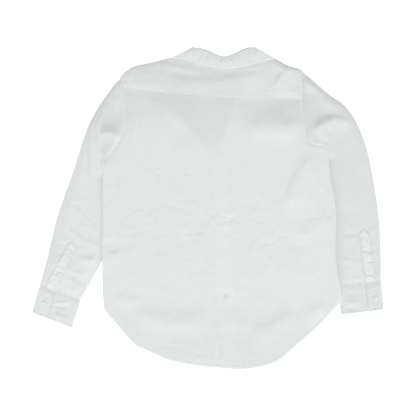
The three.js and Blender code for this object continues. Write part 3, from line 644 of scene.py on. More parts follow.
# middle x and y, reach across and along, number of creases, height
CRUMPLE_ZONES = [
    (40, -20, 260, 110, 150, 0.46),
    (-60, -90, 260, 120, 150, 0.4),
    (90, -130, 220, 120, 110, 0.4),
    (10, -220, 380, 120, 130, 0.4),
    (20, -325, 300, 50, 60, 0.5),
    (30, 90, 360, 120, 80, 0.28),
]
crumpled = ease((150 - y) / 160) * 0.75 + 0.25  # the cloth is smoother towards the yoke
relief = folds(x, y, BACK_FOLDS) + 1.1 * folds(x, y, SHARP_CREASES)
relief += small_creases(x, y, CRUMPLE_ZONES, 11)
relief += crumpled * (0.27 * ridged(x, y, 52, 3.1) + 0.14 * ridged(x, y, 17, 8.4))
relief += 0.5 * soft_noise(x, y, 120, 5.5)
print("back relief from", relief.min().round(2), "to", relief.max().round(2), "mm")

# %% [markdown]
# Height is the sum of three things: the layers below, the folds, and the way the cloth is held
# down. At the hem it comes down to the ground. At the side seams it rests on the sleeves, and at
# the yoke seam it is caught in the seam. The front band lies under the middle, so the cloth rises
# over it.

# %% Height of the back
SLEEVE_PRESSED = 2.7  # a sleeve's height where the body lies on it
BACK_OVER_FRONT = 0.8  # the back's own height over the fronts at its edges
ARMHOLE_HEIGHT = 3.95  # the back's height at the armholes' seams
BACK_AT_YOKE = 4.8  # and at the yoke's
HEM = 6.5  # depth of the hem


def on_sleeve(from_side):
    """How much of a sleeve's height the body takes at a distance from its side edge."""
    return 1 - ease((from_side - 20) / 34)


step = np.hypot(np.diff(x, axis=0), np.diff(y, axis=0))
from_hem = np.vstack([np.zeros((1, x.shape[1])), np.cumsum(step, axis=0)])
from_yoke = from_hem[-1] - from_hem
edge = np.minimum(from_left, from_right)
free = ease(from_hem / 30) * ease(from_yoke / 26) * ease((edge + 2) / 26)
side_round = round_edge(edge, 3)
armhole = ease((y - mix(84, 116, u)) / 20)
rim = SLEEVE_PRESSED * (on_left * on_sleeve(from_left) + on_right * on_sleeve(from_right))
rim = rim * ease(from_hem / 12 + on_right * 0.6)
rim = rim + BACK_OVER_FRONT * ease(from_hem / 6) + 0.6 * side_round
rim = mix(rim, ARMHOLE_HEIGHT + 0.25 * side_round, armhole * (1 - ease(edge / 40)))
rim = mix(rim, BACK_AT_YOKE, (1 - ease(from_yoke / 70)) * ease(edge / 20))
band_x = np.interp(y, [-370, -200, -110, -30, 60, 120], [41, 38, 33, 30, 28, 27])
over_band = (1 - ease((np.abs(x - band_x) - 12) / 16)) * ease((132 - y) / 20)
middle = mix(2.9, 5.9, ease((from_hem - 5) / 190)) + 0.6 * over_band * ease((from_hem - 10) / 60)
z = mix(rim, np.maximum(middle, rim), free)
z += ease((from_hem - 3) / 16) * ease(edge / 9 + 0.25) * ease(from_yoke / 12) * relief
pucker = soft_noise(x, y, 7, 2.2)
z += 0.5 * ease(from_hem / 1.5) - 0.3 * bump(from_hem, HEM, 2.2) + 0.25 * pucker * bump(from_hem, 5, 5)
armhole_seam = ease((y - 118) / 20) * bump(edge, 7, 4)
z += armhole_seam * (0.3 + mix(0.34, 0.26, u) * np.sin(y / 1.75 + 1.4 * np.sin(y / 9)))
z = np.maximum(z, CLOTH + 0.15 + 1.1 * ease((from_hem - 13) / 5))
print("back height from", z.min().round(2), "to", z.max().round(2), "mm")

# %% [markdown]
# What lies beneath shows through as a painted change of tone. The open fronts leave a dark V under
# the yoke, the doubled band makes a pale stripe down the middle, and the lowest button shows as a
# small grey spot. Painted shade is added in patches beside the open neck, under the right armhole
# and across the right shoulder blade, and the cloth is painted darker towards the tail and at the
# upper left.

# %% What shows through the back, and painted shade
def inside_polygon(x, y, corners, blur):
    """1 inside a polygon, 0 outside, with an edge as soft as blur."""
    inside = np.zeros(x.shape, bool)
    for (ax, ay), (bx, by) in zip(corners, corners[1:] + corners[:1]):
        crosses = (ay > y) != (by > y)
        inside ^= crosses & (x < (bx - ax) * (y - ay) / (by - ay + 1e-9) + ax)
    away = near_path(x, y, np.array(corners + corners[:1], float))[0]
    return ease(0.5 + np.where(inside, away, -away) / blur)


OPEN_NECK = [
    (-150, 272), (-87, 224), (-49, 189), (-14, 143), (15, 121), (43, 183), (58, 229), (68, 300),
    (-150, 300),
]
BAND = [
    (13, 128), (38, 124), (46, 20), (52, -80), (58, -202), (60, -372), (28, -372), (24, -202),
    (19, -80), (14, 20),
]
# painted shade: how much is added, softness of the edge, corners
SHADES = [
    (-0.36, 30, [(-150, 272), (-106, 226), (-45, 204), (-30, 235), (-20, 300), (-150, 300)]),
    (-0.2, 30, [(-80, 176), (-20, 176), (-30, 130), (-74, 134)]),
    (-0.5, 34, [(150, 252), (217, 252), (219, 192), (150, 196)]),
    (-0.66, 52, [(66, 250), (216, 250), (216, 196), (170, 186), (90, 186), (60, 200)]),
]
# x, y, radius, darkness of each button that shows
BUTTONS_BENEATH = [(41.5, -203.6, 6.6, 1.5), (33, -119, 5, 0.25), (27, -33, 5, 0.3), (25, 52, 5, 0.12)]


def patches(x, y, table):
    """Sum of soft-edged patches: how much is added, softness of the edge, corners."""
    return sum(amount * inside_polygon(x, y, corners, blur) for amount, blur, corners in table)


# painted show-through: a dim V, a pale band and grey button spots; painted shade: the patches, and
# darker towards the tail and at the upper left
painted_shade_and_show_through = -0.78 * inside_polygon(x, y, OPEN_NECK, 18) * mix(0.45, 1, ease((y - 125) / 90))
painted_shade_and_show_through += patches(x, y, SHADES)
painted_shade_and_show_through += 0.55 * inside_polygon(x, y, BAND, 8) * mix(0.15, 1, ease((y + 250) / 60))
for bx, by, radius, dark in BUTTONS_BENEATH:
    painted_shade_and_show_through -= dark * (1 - ease((np.hypot(x - bx, y - by) - radius + 2) / 3.5))
painted_shade_and_show_through -= 0.6 * ease((-190 - y) / 130) + 0.6 * ease((-60 - x) / 60) * ease((y - 170) / 60)
back = sheet_of_linen(
    "linen_back", np.dstack([x, y, z]), ["back_panel"], (0.585, 0.66, 0.86),
    cut=(552, 640), marks={"painted_shade_and_show_through": painted_shade_and_show_through},
    rests_on=["linen_front_left", "linen_front_right", "linen_sleeve_left", "linen_sleeve_right"],
)

# %% [markdown]
# ## The fronts and their bands
#
# The fronts lie face down under the back. They can be seen only from the sides and from below, but
# they are real: each has its own crumple, kept low where it presses on the ground. The band with
# the buttonholes is the outer one, so it lies lowest.

# %% The fronts
TAIL_SHORTER = 12  # the front tails end above the back's
# y and x of the edge where a front meets its band, from the hem to the neck
LEFT_EDGE = [
    (-372, 25), (-200, 24), (-110, 19), (-30, 15.5), (60, 13), (120, -10), (149, -57), (178, -86),
    (212, -125), (245, -147), (300, -104),
]
RIGHT_EDGE = [
    (-372, 55), (-200, 54), (-110, 49), (-30, 45.5), (60, 43), (120, 46), (149, 58), (178, 69),
    (212, 84), (245, 100), (300, 108),
]


def lay_front(side, rows=150, columns=66):
    """A front between its side seam and its band, from the hem to the yoke's turned part."""
    table = [list(row) for row in BODY[1:]]
    table[0][1] += TAIL_SHORTER
    table[0][3] += TAIL_SHORTER
    x0, y0, _, _, _, on_left, on_right = body_grid(table, rows, 240)
    edge_y, edge_x = np.array(LEFT_EDGE if side == "left" else RIGHT_EDGE, float).T
    grid = np.zeros((rows, columns, 3))
    for r in range(rows):
        limit = np.interp(y0[r, 120], edge_y, edge_x)
        ends = (x0[r, 0], limit) if side == "left" else (limit, x0[r, -1])
        span = np.linspace(*ends, columns)
        near = span - x0[r, 0] if side == "left" else x0[r, -1] - span
        lies_on = (on_left if side == "left" else on_right)[r, 0]
        grid[r, :, 0] = span
        grid[r, :, 1] = np.interp(span, x0[r], y0[r])
        grid[r, :, 2] = SLEEVE_PRESSED * lies_on * on_sleeve(near)
    x, y = grid[..., 0], grid[..., 1]
    crumple = np.clip(ridged(x, y, 60, 21 if side == "left" else 27) + 0.25, 0, 1.4)
    grid[..., 2] += CLOTH + 0.32 * crumple * ease((x.max() - np.abs(x)) / 12)
    across = np.arange(columns)[None, :] / (columns - 1)
    toward_band = across if side == "left" else 1 - across
    rise = (2.4 if side == "right" else 3.6) * ease((130 - y) / 24)
    grid[..., 2] += rise * ease((toward_band - 0.86) / 0.14)
    sheet_of_linen(
        f"linen_front_{side}", grid, [f"front_{side}"], (0.30, 0.66, 0.84),
        cut=(280, 640), rests_on=["floor"],
    )


for side in ("left", "right"):
    lay_front(side)

# %% [markdown]
# Each band is a strip of doubled cloth along its front's edge. It runs straight down the shut part
# and turns aside along the open neck.

# %% The front bands
# the line of its seam, and that of its free edge
BAND_PATHS = {
    "left": (
        [
            (25, -354), (24, -200), (19, -110), (15.5, -30), (13, 62), (11.5, 110), (-22, 124),
            (-58, 151),
            (-88, 180), (-127, 214), (-146.5, 232),
        ],
        [
            (54.6, -356), (53.6, -200), (48.6, -110), (45, -30), (42.5, 62), (40.5, 112), (12.9, 129),
            (-19, 158),
            (-52, 186), (-96, 224), (-126.5, 251),
        ],
    ),
    "right": (
        [
            (55, -356), (54, -200), (49, -110), (45.5, -30), (43, 62), (44, 110), (50, 132), (58, 156),
            (69, 180), (84, 210), (98.5, 239),
        ],
        [
            (25.5, -354), (24.6, -200), (19.4, -110), (16, -30), (13.4, 62), (11.8, 110), (14.5, 129),
            (25, 152),
            (38, 180), (54, 214), (73.6, 251),
        ],
    ),
}


def lay_band(side):
    """A band of doubled cloth. The right one lies lower, so the left one climbs onto it."""
    seam, free_edge = (through(path, 220) for path in BAND_PATHS[side])
    flat = mix(seam[:, None, :], free_edge[:, None, :], np.linspace(0, 1, 13)[None, :, None])
    x, y = flat[..., 0], flat[..., 1]
    settled = ease((y + 352) / 110) * ease((134 - y) / 20)
    if side == "right":
        level = 2.6 * settled + 1.0
    else:
        level = 3.3 * settled + 1.9 * ease((150 - y) / 30) + 0.05
    level = level + 0.25 * ridged(x, y, 26, 4.0) * ease((y + 350) / 20)
    sheet_of_linen(
        f"linen_front_band_{side}", np.dstack([x, y, np.maximum(level, 0.95)]), [f"front_band_{side}"],
        (0.031, 0.66, 1.0), thickness=0.8, finish=linen_doubled, cut=(30, 650),
    )


for side in ("left", "right"):
    lay_band(side)

# %% [markdown]
# ## The yoke
#
# The yoke covers the shoulders. Its lower edge is folded under, lies over the top of the back and
# is stitched down, and the stitching draws the fold into small slanting puckers. At both shoulders
# it turns over and runs a few centimetres down the front, and between them it ends at the neck.

# %% The yoke's outline
YOKE_TOP = [
    (-191, 311), (-177, 320.5), (-162, 326), (-124, 334), (-82.6, 344), (-58, 342), (-30, 333.5),
    (0, 325.5), (32, 321), (60, 322), (85, 325.5), (124, 337), (152, 341.6), (182, 327.3),
    (211, 317.5), (219, 312.8),
]
NECK_LEFT, NECK_RIGHT = -82.6, 152
YOKE_LEFT = [(-193, 273.5), (-197, 287), (-201, 299), (-191, 311)]
YOKE_RIGHT = [(217, 248.5), (217.5, 272), (219, 293), (219, 312.8)]
# where the turned part ends at the neck
FRONT_NECK_LEFT, FRONT_NECK_RIGHT = (-103.6, 299), (113, 296.6)
# height, width on the left, width on the right, path
YOKE_FOLDS = [
    (2.4, 11, 17, [
        (-150, 305), (-96, 296), (-55, 291), (-10, 287), (30, 288), (80, 298), (125, 301), (166, 295),
    ]),
    (1.4, 8, 9, [(-128, 328), (-100, 326), (-46, 316), (-10, 312)]),
    (1.3, 7, 7, [(60, 312), (100, 322), (132, 322)]),
    (3.2, 22, 7, [(206, 332), (182, 314), (164, 294), (148, 270)]),
    (3.2, 6, 13, [(128, 326), (158, 328), (184, 317), (212, 305)]),
    (1.6, 4, 6, [(150, 324), (176, 316), (200, 308)]),
    (-2.4, 4, 6, [(146, 326), (164, 314), (172, 300)]),
    (1.3, 4, 5, [(128, 323), (158, 321), (184, 322)]),
    (0.9, 3, 3, [(-143, 316), (-142, 297)]),
    (-0.9, 4, 4, [(-166, 318), (-172, 296), (-178, 280)]),
    (0.9, 8, 10, [(-176, 312), (-184, 292)]),
    (0.8, 4, 6, [(68, 300), (62, 280)]),
    (-0.9, 3, 3, [(-22, 274), (10, 270), (36, 272)]),
    (0.8, 4, 5, [(-60, 284), (-40, 274)]),
    (0.9, 5, 7, [(96, 288), (104, 268)]),
    (-0.8, 4, 4, [(-110, 290), (-96, 278)]),
]
COLUMNS, UP, TURN, UNDER = 178, 44, 9, 14  # points across, up, round the fold and under it
top = through(YOKE_TOP, 400)
west, east = YOKE_TOP[0][0], YOKE_TOP[-1][0]
top_x = np.linspace(west, east, COLUMNS)
top_y = np.interp(top_x, top[:, 0], top[:, 1])
u = (top_x - west) / (east - west)
left_side, right_side = through(YOKE_LEFT, UP), through(YOKE_RIGHT, UP)
tail = through(TAIL, 200)
seam_x = mix(YOKE_LEFT[0][0], YOKE_RIGHT[0][0], u)
seam_y = mix(YOKE_LEFT[0][1], YOKE_RIGHT[0][1], u) - BODY[-1][4] * np.interp(u, tail[:, 0], tail[:, 1])
s = np.linspace(0, 1, UP)[:, None]
x = mix(seam_x[None, :], top_x[None, :], s)
y = mix(seam_y[None, :], top_y[None, :], s)
hold_left = (1 - ease(u / 0.2))[None, :]
hold_right = (1 - ease((1 - u) / 0.2))[None, :]
x += hold_left * (left_side[:, :1] - x[:, :1]) + hold_right * (right_side[:, :1] - x[:, -1:])
y += hold_left * (left_side[:, 1:] - y[:, :1]) + hold_right * (right_side[:, 1:] - y[:, -1:])
print("yoke", x.shape, "from", x.min().round(1), "to", x.max().round(1))

# %% [markdown]
# The yoke's height comes from how each of its edges is held. The shoulders are rolled folds, the
# neck edge lies in the collar's seam, the lower hem is stitched to the back, and the ends lie in
# the armhole seams.

# %% Height of the yoke, with its shoulder folds and its puckered hem
FOLD = 6.4  # height of the folded shoulder
SOFT_ROLL = 13  # reach of the rounding at the shoulder
YOKE_AT_SEAMS = 4.9  # its height where it is sewn
turned = (top_x <= NECK_LEFT) | (top_x >= NECK_RIGHT)
from_top = np.hypot(x - x[-1:], y - y[-1:])
from_seam = np.hypot(x - x[:1], y - y[:1])
from_side = np.minimum(*from_edges(x, y))
shoulder = FOLD / 2 * (1 + round_edge(from_top, SOFT_ROLL)) + 1.6 * ease(from_top / 26)
neck = 4.1 + 1.5 * ease((from_top - 5) / 22)
at_neck = (ease((top_x - NECK_LEFT + 14) / 26) * ease((NECK_RIGHT + 14 - top_x) / 26))[None, :]
z = mix(YOKE_AT_SEAMS, mix(shoulder, neck, at_neck), ease(from_seam / 20))
z += 0.35 * (1 - ease((from_seam - 6) / 6)) * ease(from_seam / 1.6)
slanted = x + from_seam * 0.62
pitch = 10.8 + 1.6 * np.sin(x / 37)
pinch = np.sin(2 * math.pi * slanted / pitch + 1.3 * soft_noise(x, y, 30, 9))
z += 0.75 * pinch * bump(from_seam, 6, 5.2) * (0.75 + 0.5 * soft_noise(x, y, 25, 4))
z -= 0.12 * bump(from_seam, 10, 2.2)
relief = folds(x, y, YOKE_FOLDS) + 0.3 * ridged(x, y, 34, 6.6) + 0.1 * ridged(x, y, 13, 7.7)
relief += small_creases(x, y, [(20, 292, 330, 44, 70, 0.34)], 5)
z = mix(YOKE_AT_SEAMS, z, ease(from_side / 30))
z += relief * ease(from_top / 5) * ease((from_seam - 7) / 8) * ease(from_side / 8 + 0.2)
z += bump(from_side, 6, 4.5) * ease((y[-1:] - y) / 12) * 0.3 * np.sin(y / 1.8)
print("yoke height", z.min().round(2), "to", z.max().round(2))

# %% [markdown]
# From the shoulder fold the cloth goes on round and back down underneath, to lie flat on the
# ground beside the fronts. Between the two shoulders there is no turned part, so those cells are
# dropped.

# %% The turned part on the front, and the piece
turn = np.zeros((TURN + UNDER, COLUMNS, 3))
for k in range(TURN):
    angle = math.pi * (k + 1) / (TURN + 1)
    turn[k, :, 0] = top_x
    turn[k, :, 1] = top_y + 0.25 * math.sin(angle)
    turn[k, :, 2] = z[-1] * (0.5 + 0.5 * math.cos(angle)) * 0.92 + CLOTH
on_west = top_x < 0
reach = np.where(on_west, (top_x - west) / (NECK_LEFT - west), (east - top_x) / (east - NECK_RIGHT))
reach = np.clip(reach, 0, 1)
under_x, under_y = (
    np.where(
        on_west,
        mix(YOKE_LEFT[1][k], FRONT_NECK_LEFT[k], reach),
        mix(YOKE_RIGHT[1][k], FRONT_NECK_RIGHT[k], reach),
    )
    for k in range(2)
)
for k in range(UNDER):
    t = (k + 1) / UNDER
    turn[TURN + k, :, 0] = mix(top_x, under_x, t)
    turn[TURN + k, :, 1] = mix(top_y, under_y, t)
    turn[TURN + k, :, 2] = CLOTH + 0.1
grid = np.vstack([np.dstack([x, y, z]), turn])
keep = np.ones((grid.shape[0] - 1, COLUMNS - 1), bool)
keep[UP - 1 :, :] = (turned[:-1] & turned[1:])[None, :]
# Painted shade over the yoke: a little all over, more in the middle, along both shoulders' edges and on
# the left; its folded hem, where the cloth is doubled, is painted paler.
MIDDLE_SHADE = [(-128, 250), (70, 240), (84, 300), (30, 312), (-60, 318)]
painted_shade_and_show_through = np.full(x.shape, -0.25) - 0.42 * inside_polygon(x, y, MIDDLE_SHADE, 40)
painted_shade_and_show_through += 0.6 * (1 - ease((from_seam - 8) / 5))
painted_shade_and_show_through -= 0.9 * ease((x - 118) / 24) * (1 - ease((from_top - 2) / 7))
painted_shade_and_show_through -= 0.5 * ease((-60 - x) / 40) * (1 - ease(from_top / 7))
painted_shade_and_show_through -= 0.4 * ease((-20 - x) / 80)
painted_shade_and_show_through = np.vstack([painted_shade_and_show_through, np.zeros((turn.shape[0], COLUMNS))])
yoke = sheet_of_linen(
    "linen_yoke", grid, ["yoke"], (0.44, 0.145, 0.68), thickness=0.6, cut=(415, 120), keep=keep,
    marks={"painted_shade_and_show_through": painted_shade_and_show_through}, rests_on=["linen_back", "linen_front_left", "linen_front_right"],
)

# %% [markdown]
# ## The collar band
#
# A band collar is a strip of doubled cloth that stands round the neck. Laid flat, its back half
# folds down at both ends over its front half. A tube with a flat section gives both faces and the
# rounded free edge in one piece. Lying slack, the free edge gathers into a few small dents.

# %% The collar band
# seam x and y, free edge x and y, height
COLLAR = [
    (-125.2, 251.8, -99, 239, 0.9), (-103, 298, -76, 285.5, 0.9), (-92, 321.5, -62, 315, 0.9),
    (-82.4, 342.1, -36.5, 366.0, 1.0), (-81.9, 343.9, -33, 367.6, 3.6), (-58, 343, -18, 366.4, 4.3),
    (-30, 334.3, 1, 360.6, 4.3), (0, 326.3, 20, 352.0, 4.2), (32, 321.8, 37, 347.3, 4.2),
    (60, 322.8, 54, 351, 4.2), (85, 326.3, 82, 364.2, 4.3), (124, 337.8, 95, 368, 4.3),
    (150.9, 342.2, 105.6, 367.4, 3.6), (150.6, 341.1, 106.4, 366, 1.0), (132, 319, 98, 330, 0.9),
    (112.6, 296.4, 84, 308, 0.9), (87.4, 267.4, 64.5, 285.5, 0.9), (73.6, 253.4, 51.5, 272.5, 0.9),
]
COLLAR_DENTS = [
    (-3.0, 4, 3, [(-3, 340), (0, 352), (3, 366)]),
    (-2.6, 3, 3, [(28, 334), (31, 344), (33, 356)]),
    (-2.6, 3, 4, [(56, 338), (54, 346), (52, 358)]),
    (-1.6, 3, 3, [(12, 344), (17, 360)]),
    (-1.8, 3, 3, [(72, 342), (68, 362)]),
    (-1.8, 4, 4, [(88, 346), (98, 370)]),
    (1.8, 4, 5, [(-34, 340), (-22, 368)]),
    (1.6, 4, 5, [(-50, 342), (-36, 364)]),
    (-1.4, 3, 3, [(-20, 338), (-12, 366)]),
    (-1.6, 4, 4, [(-66, 344), (-50, 358)]),
    (1.6, 4, 4, [(106, 344), (120, 362)]),
    (-1.6, 3, 3, [(118, 338), (134, 352)]),
    (1.2, 5, 6, [(38, 326), (46, 346)]),
]


def lay_collar(stations=190, across=15):
    """The collar's tube: its upper face, its rounded free edge and its lower face."""
    line = through(COLLAR, stations)
    t = np.concatenate([np.linspace(0, 1, across), np.linspace(1, 0, across)[1:-1]])
    lower = np.concatenate([np.zeros(across), np.ones(across - 2)])
    lapped = mix(-0.1, 1.0, t[None, :])  # the seam's edge laps over the yoke
    x = mix(line[:, 0][:, None], line[:, 2][:, None], lapped)
    y = mix(line[:, 1][:, None], line[:, 3][:, None], lapped)
    level = line[:, 4][:, None] + 0 * x
    upper = ease((level - 1.0) / 3)
    middle = ease(np.minimum(t, 1 - t) / 0.2)[None, :]
    relief = folds(x, y, COLLAR_DENTS) + 0.28 * ridged(x, y, 15, 2.5) * middle
    bulge = 1.1 * np.sin(math.pi * t)[None, :]
    stitched = 0.3 * bump(t, 0.9, 0.05)[None, :]
    level = level + upper * (relief + bulge - 1.7 * t[None, :] ** 1.5) - stitched
    thick = 1.15 * np.sqrt(np.clip(1 - (2 * t - 1) ** 8, 0.02, 1))[None, :]
    z = level + thick / 2 - thick * lower[None, :]
    return np.dstack([x, y, np.maximum(z, 0.02)])


collar = as_mesh("linen_collar", lay_collar(), rounded=True, cut=(470, 60))
select_only(collar)
bpy.ops.object.mode_set(mode="EDIT")
bpy.ops.mesh.select_all(action="DESELECT")
bpy.ops.mesh.select_non_manifold()
bpy.ops.mesh.edge_face_add()
bpy.ops.mesh.select_all(action="SELECT")
bpy.ops.mesh.normals_make_consistent(inside=False)
bpy.ops.object.mode_set(mode="OBJECT")
declare(collar, linen_doubled, "linen", "collar_band")

# %% [markdown]
# ## The sleeves
#
# A sleeve lies as a flattened tube. Its rings start at the armhole and fan out round the armpit
# until they lie square to the arm. Across a ring the tube has an upper layer, a fold at each edge
# and a lower layer on the ground. The body lies on the inner edge, so the tube is thin there and
# swells once it comes out.

# %% The sleeves' outlines
# overarm x and y, underarm x and y, share of the armhole's curve that the ring keeps
SLEEVES = {
    "left": [
        (-201.5, 300, -245.4, 94, 1.0), (-219.7, 276.5, -246.5, 86, 0.6),
        (-246.5, 238.5, -247.5, 78, 0.32), (-262, 213, -247, 70, 0.16),
        (-276, 184.5, -245, 60, 0.07), (-285.5, 158, -241, 46, 0),
        (-294, 132.5, -235.5, 31, 0), (-302, 106, -230, 18, 0), (-310.5, 79.5, -225, 5, 0),
        (-319.5, 54.5, -222, -12, 0), (-328.7, 29, -221.5, -35, 0), (-348, -29, -227, -78, 0),
        (-361.5, -85, -241, -117, 0), (-371.5, -127, -262.5, -159, 0), (-380, -158, -281, -192.5, 0),
        (-386.4, -180, -295, -213.5, 0), (-387.8, -184, -296.4, -217.4, 0),
    ],
    "right": [
        (219.8, 312, 275.2, 137, 1.0), (239, 293.7, 278.5, 131, 0.35), (258.3, 276.7, 280.5, 123, 0.2),
        (281, 257.6, 281.5, 114.5, 0.1), (303, 243.6, 281, 103, 0.04), (321, 226, 279, 87.5, 0),
        (336, 204.5, 275.5, 72, 0), (347.5, 182, 271.5, 58, 0), (356.5, 159.5, 268.5, 44, 0),
        (366, 130, 267, 31, 0), (373, 100, 268, 11, 0), (385, 34, 270, -32, 0),
        (393, -29, 271.5, -74, 0), (396, -80, 275, -114, 0), (397.4, -125.5, 286, -148, 0),
        (397.4, -150, 294, -168, 0), (397.4, -169.3, 300, -182, 0), (397.8, -173.4, 300.6, -186, 0),
    ],
}
# x and y of each armhole, from the shoulder to the armpit
ARMHOLES = {
    "left": [
        (-201.5, 300), (-197.5, 287), (-193.5, 275), (-188.5, 245), (-187, 212), (-193.5, 178),
        (-209.6, 149.5), (-230.8, 121), (-245.4, 94),
    ],
    "right": [
        (219.8, 312), (219.6, 293), (218, 272), (217.6, 250), (218, 232), (219.6, 205), (226.5, 172),
        (237.6, 149.3), (255.5, 143.3), (275.2, 137.3),
    ],
}
# x and y of the body's edge where it lies on each sleeve
BODY_EDGE = {
    "left": [
        (-243, -400), (-243, -150), (-242.5, -80), (-241.5, -30), (-242, 12), (-242.5, 45),
        (-244.5, 93), (-230, 121), (-180, 175),
    ],
    "right": [
        (310, -213), (299, -158), (293.5, -66), (294.5, -17), (290, 24), (283, 62), (275, 125),
        (274, 137), (200, 162),
    ],
}
for side in ("left", "right"):
    print("rings drawn for the", side, "sleeve:", len(SLEEVES[side]))

# %% [markdown]
# A sleeve's long folds start at the armpit and the shoulder. From the elbow down the creases lie
# closer, and many run across the arm.

# %% Folds of the sleeves
# height, width on the left, width on the right, path
SLEEVE_FOLDS = {
    "left": [
        (3.6, 10, 19, [(-250, 164), (-236, 171), (-221, 172), (-209, 163), (-202, 148)]),
        (2.6, 27, 22, [(-262, 170), (-240, 178), (-216, 178), (-196, 160)]),
        (1.2, 3.4, 3, [(-246, 168), (-236, 172), (-222, 172), (-212, 163), (-206, 152)]),
        (2.6, 10, 6, [(-232, 226), (-247, 206), (-254, 184), (-254, 150), (-250, 118), (-247, 92)]),
        (2.6, 4.5, 3, [(-234, 224), (-249, 202), (-254, 180), (-254, 150), (-250, 116), (-247, 96)]),
        (-2.4, 5, 6, [(-252, 152), (-249, 122), (-246, 96)]),
        (-3.2, 4, 6, [(-277, 184), (-277, 140), (-275, 100), (-274, 62)]),
        (2.6, 6, 6, [(-266, 180), (-267, 130), (-265, 70)]),
        (2.2, 6, 6, [(-286, 154), (-290, 110), (-290, 50)]),
        (-1.8, 8, 8, [(-231, 246), (-242, 232)]),
        (-1.5, 7, 7, [(-216, 270), (-228, 258)]),
        (1.7, 9, 12, [(-206, 262), (-214, 230), (-232, 206)]),
        (1.4, 4, 5, [(-330, 16), (-300, 15), (-275, 18)]),
        (2.6, 5, 12, [(-322, 12), (-300, -8), (-286, -20), (-272, -36), (-258, -56), (-244, -70)]),
        (2.2, 6, 12, [(-300, -46), (-284, -42), (-266, -48)]),
        (2.8, 5, 14, [(-347, -34), (-322, -50), (-300, -62), (-276, -78), (-250, -90)]),
        (-1.6, 5, 5, [(-352, -40), (-334, -51), (-318, -63)]),
        (3.6, 9, 12, [(-304, -112), (-284, -121), (-262, -120), (-242, -117)]),
        (1.6, 5, 8, [(-300, -92), (-286, -98), (-268, -96)]),
        (1.6, 5, 6, [(-352, -62), (-330, -72), (-316, -70)]),
        (-1.6, 4, 5, [(-366, -80), (-344, -86), (-324, -78)]),
        (-2.2, 4, 5, [(-372, -132), (-350, -141), (-334, -149), (-310, -157), (-284, -160)]),
        (-1.6, 4, 5, [(-368, -156), (-352, -160), (-346, -168)]),
        (-1.6, 4, 4, [(-318, -146), (-300, -142), (-280, -134)]),
        (1.6, 4, 6, [(-312, -160), (-300, -176), (-296, -196)]),
        (1.6, 5, 5, [(-372, -124), (-346, -128), (-328, -124)]),
        (-1.9, 4, 5, [(-326, -157), (-304, -164), (-280, -173)]),
        (1.8, 5, 5, [(-322, -146), (-300, -150), (-276, -158)]),
        (1.5, 4, 5, [(-376, -178), (-354, -170), (-338, -160)]),
        (1.7, 5, 6, [(-330, -176), (-308, -188), (-292, -196)]),
        (-1.4, 4, 4, [(-352, -100), (-336, -106), (-322, -104)]),
        (1.3, 4, 5, [(-362, -108), (-346, -116), (-330, -112)]),
        (1.4, 4, 5, [(-300, -132), (-286, -142), (-266, -146)]),
    ],
    "right": [
        (6.5, 22, 10, [(334, 184), (312, 197), (288, 201), (266, 194), (250, 180), (238, 163)]),
        (4.4, 8, 16, [(216, 302), (226, 293), (238, 283), (256, 274)]),
        (-2.6, 4, 5, [(270, 188), (275, 176), (276, 164)]),
        (2.0, 5, 6, [(262, 182), (269, 168), (266, 154)]),
        (1.8, 5, 7, [(244, 172), (262, 163), (282, 156)]),
        (-1.7, 4, 4, [(238, 158), (258, 152), (280, 146)]),
        (1.4, 14, 18, [(236, 262), (262, 246), (300, 232)]),
        (1.6, 16, 20, [(340, 190), (356, 130), (360, 70)]),
        (1.2, 12, 14, [(296, 110), (310, 60), (312, 10)]),
        (1.3, 8, 8, [(286, 60), (300, 30), (312, 0)]),
        (1.6, 4, 6, [(334, -8), (346, -30), (357, -50)]),
        (1.3, 4, 5, [(316, -14), (328, -36), (340, -56)]),
        (-1.5, 3, 3.5, [(280, -62), (316, -61), (356, -59)]),
        (1.2, 5, 7, [(292, -72), (318, -72), (346, -66)]),
        (-2.0, 4, 5, [(366, -53), (379, -43), (397, -31)]),
        (-1.8, 4, 4, [(366, -81), (380, -76), (398, -70)]),
        (-2.0, 3.2, 4, [(306, -4), (322, -26), (344, -54)]),
        (-2.0, 3.2, 4, [(330, -2), (342, -28), (352, -50)]),
        (1.2, 4, 4, [(316, -70), (322, -110), (330, -150)]),
        (1.6, 5, 6, [(370, -56), (384, -50), (397, -42)]),
        (-1.9, 4, 5, [(352, -101), (374, -100), (397, -98)]),
        (1.6, 5, 5, [(354, -111), (376, -110), (396, -108)]),
        (-1.3, 3, 3.5, [(280, -117), (320, -114), (360, -117)]),
        (1.4, 5, 6, [(290, -127), (320, -124), (350, -127)]),
        (-1.8, 4, 5, [(366, -156), (382, -152), (397, -149)]),
        (1.5, 4, 5, [(300, -146), (326, -142), (348, -146)]),
        (0.9, 5, 6, [(304, -166), (336, -164), (364, -163)]),
        (1.4, 4, 5, [(374, -130), (388, -126), (397, -126)]),
    ],
}
# middle x and y, reach across and along, number of creases, height
SLEEVE_ZONES = {
    "left": [(-320, -90, 90, 130, 70, 0.6), (-275, 60, 60, 160, 30, 0.4)],
    "right": [(345, -80, 90, 130, 60, 0.5), (320, 60, 80, 160, 30, 0.3)],
}
for side in ("left", "right"):
    print("folds of the", side, "sleeve:", len(SLEEVE_FOLDS[side]))

# %% [markdown]
# Each underarm's hollow gets a painted warm shade, and the cloth above it painted shade.

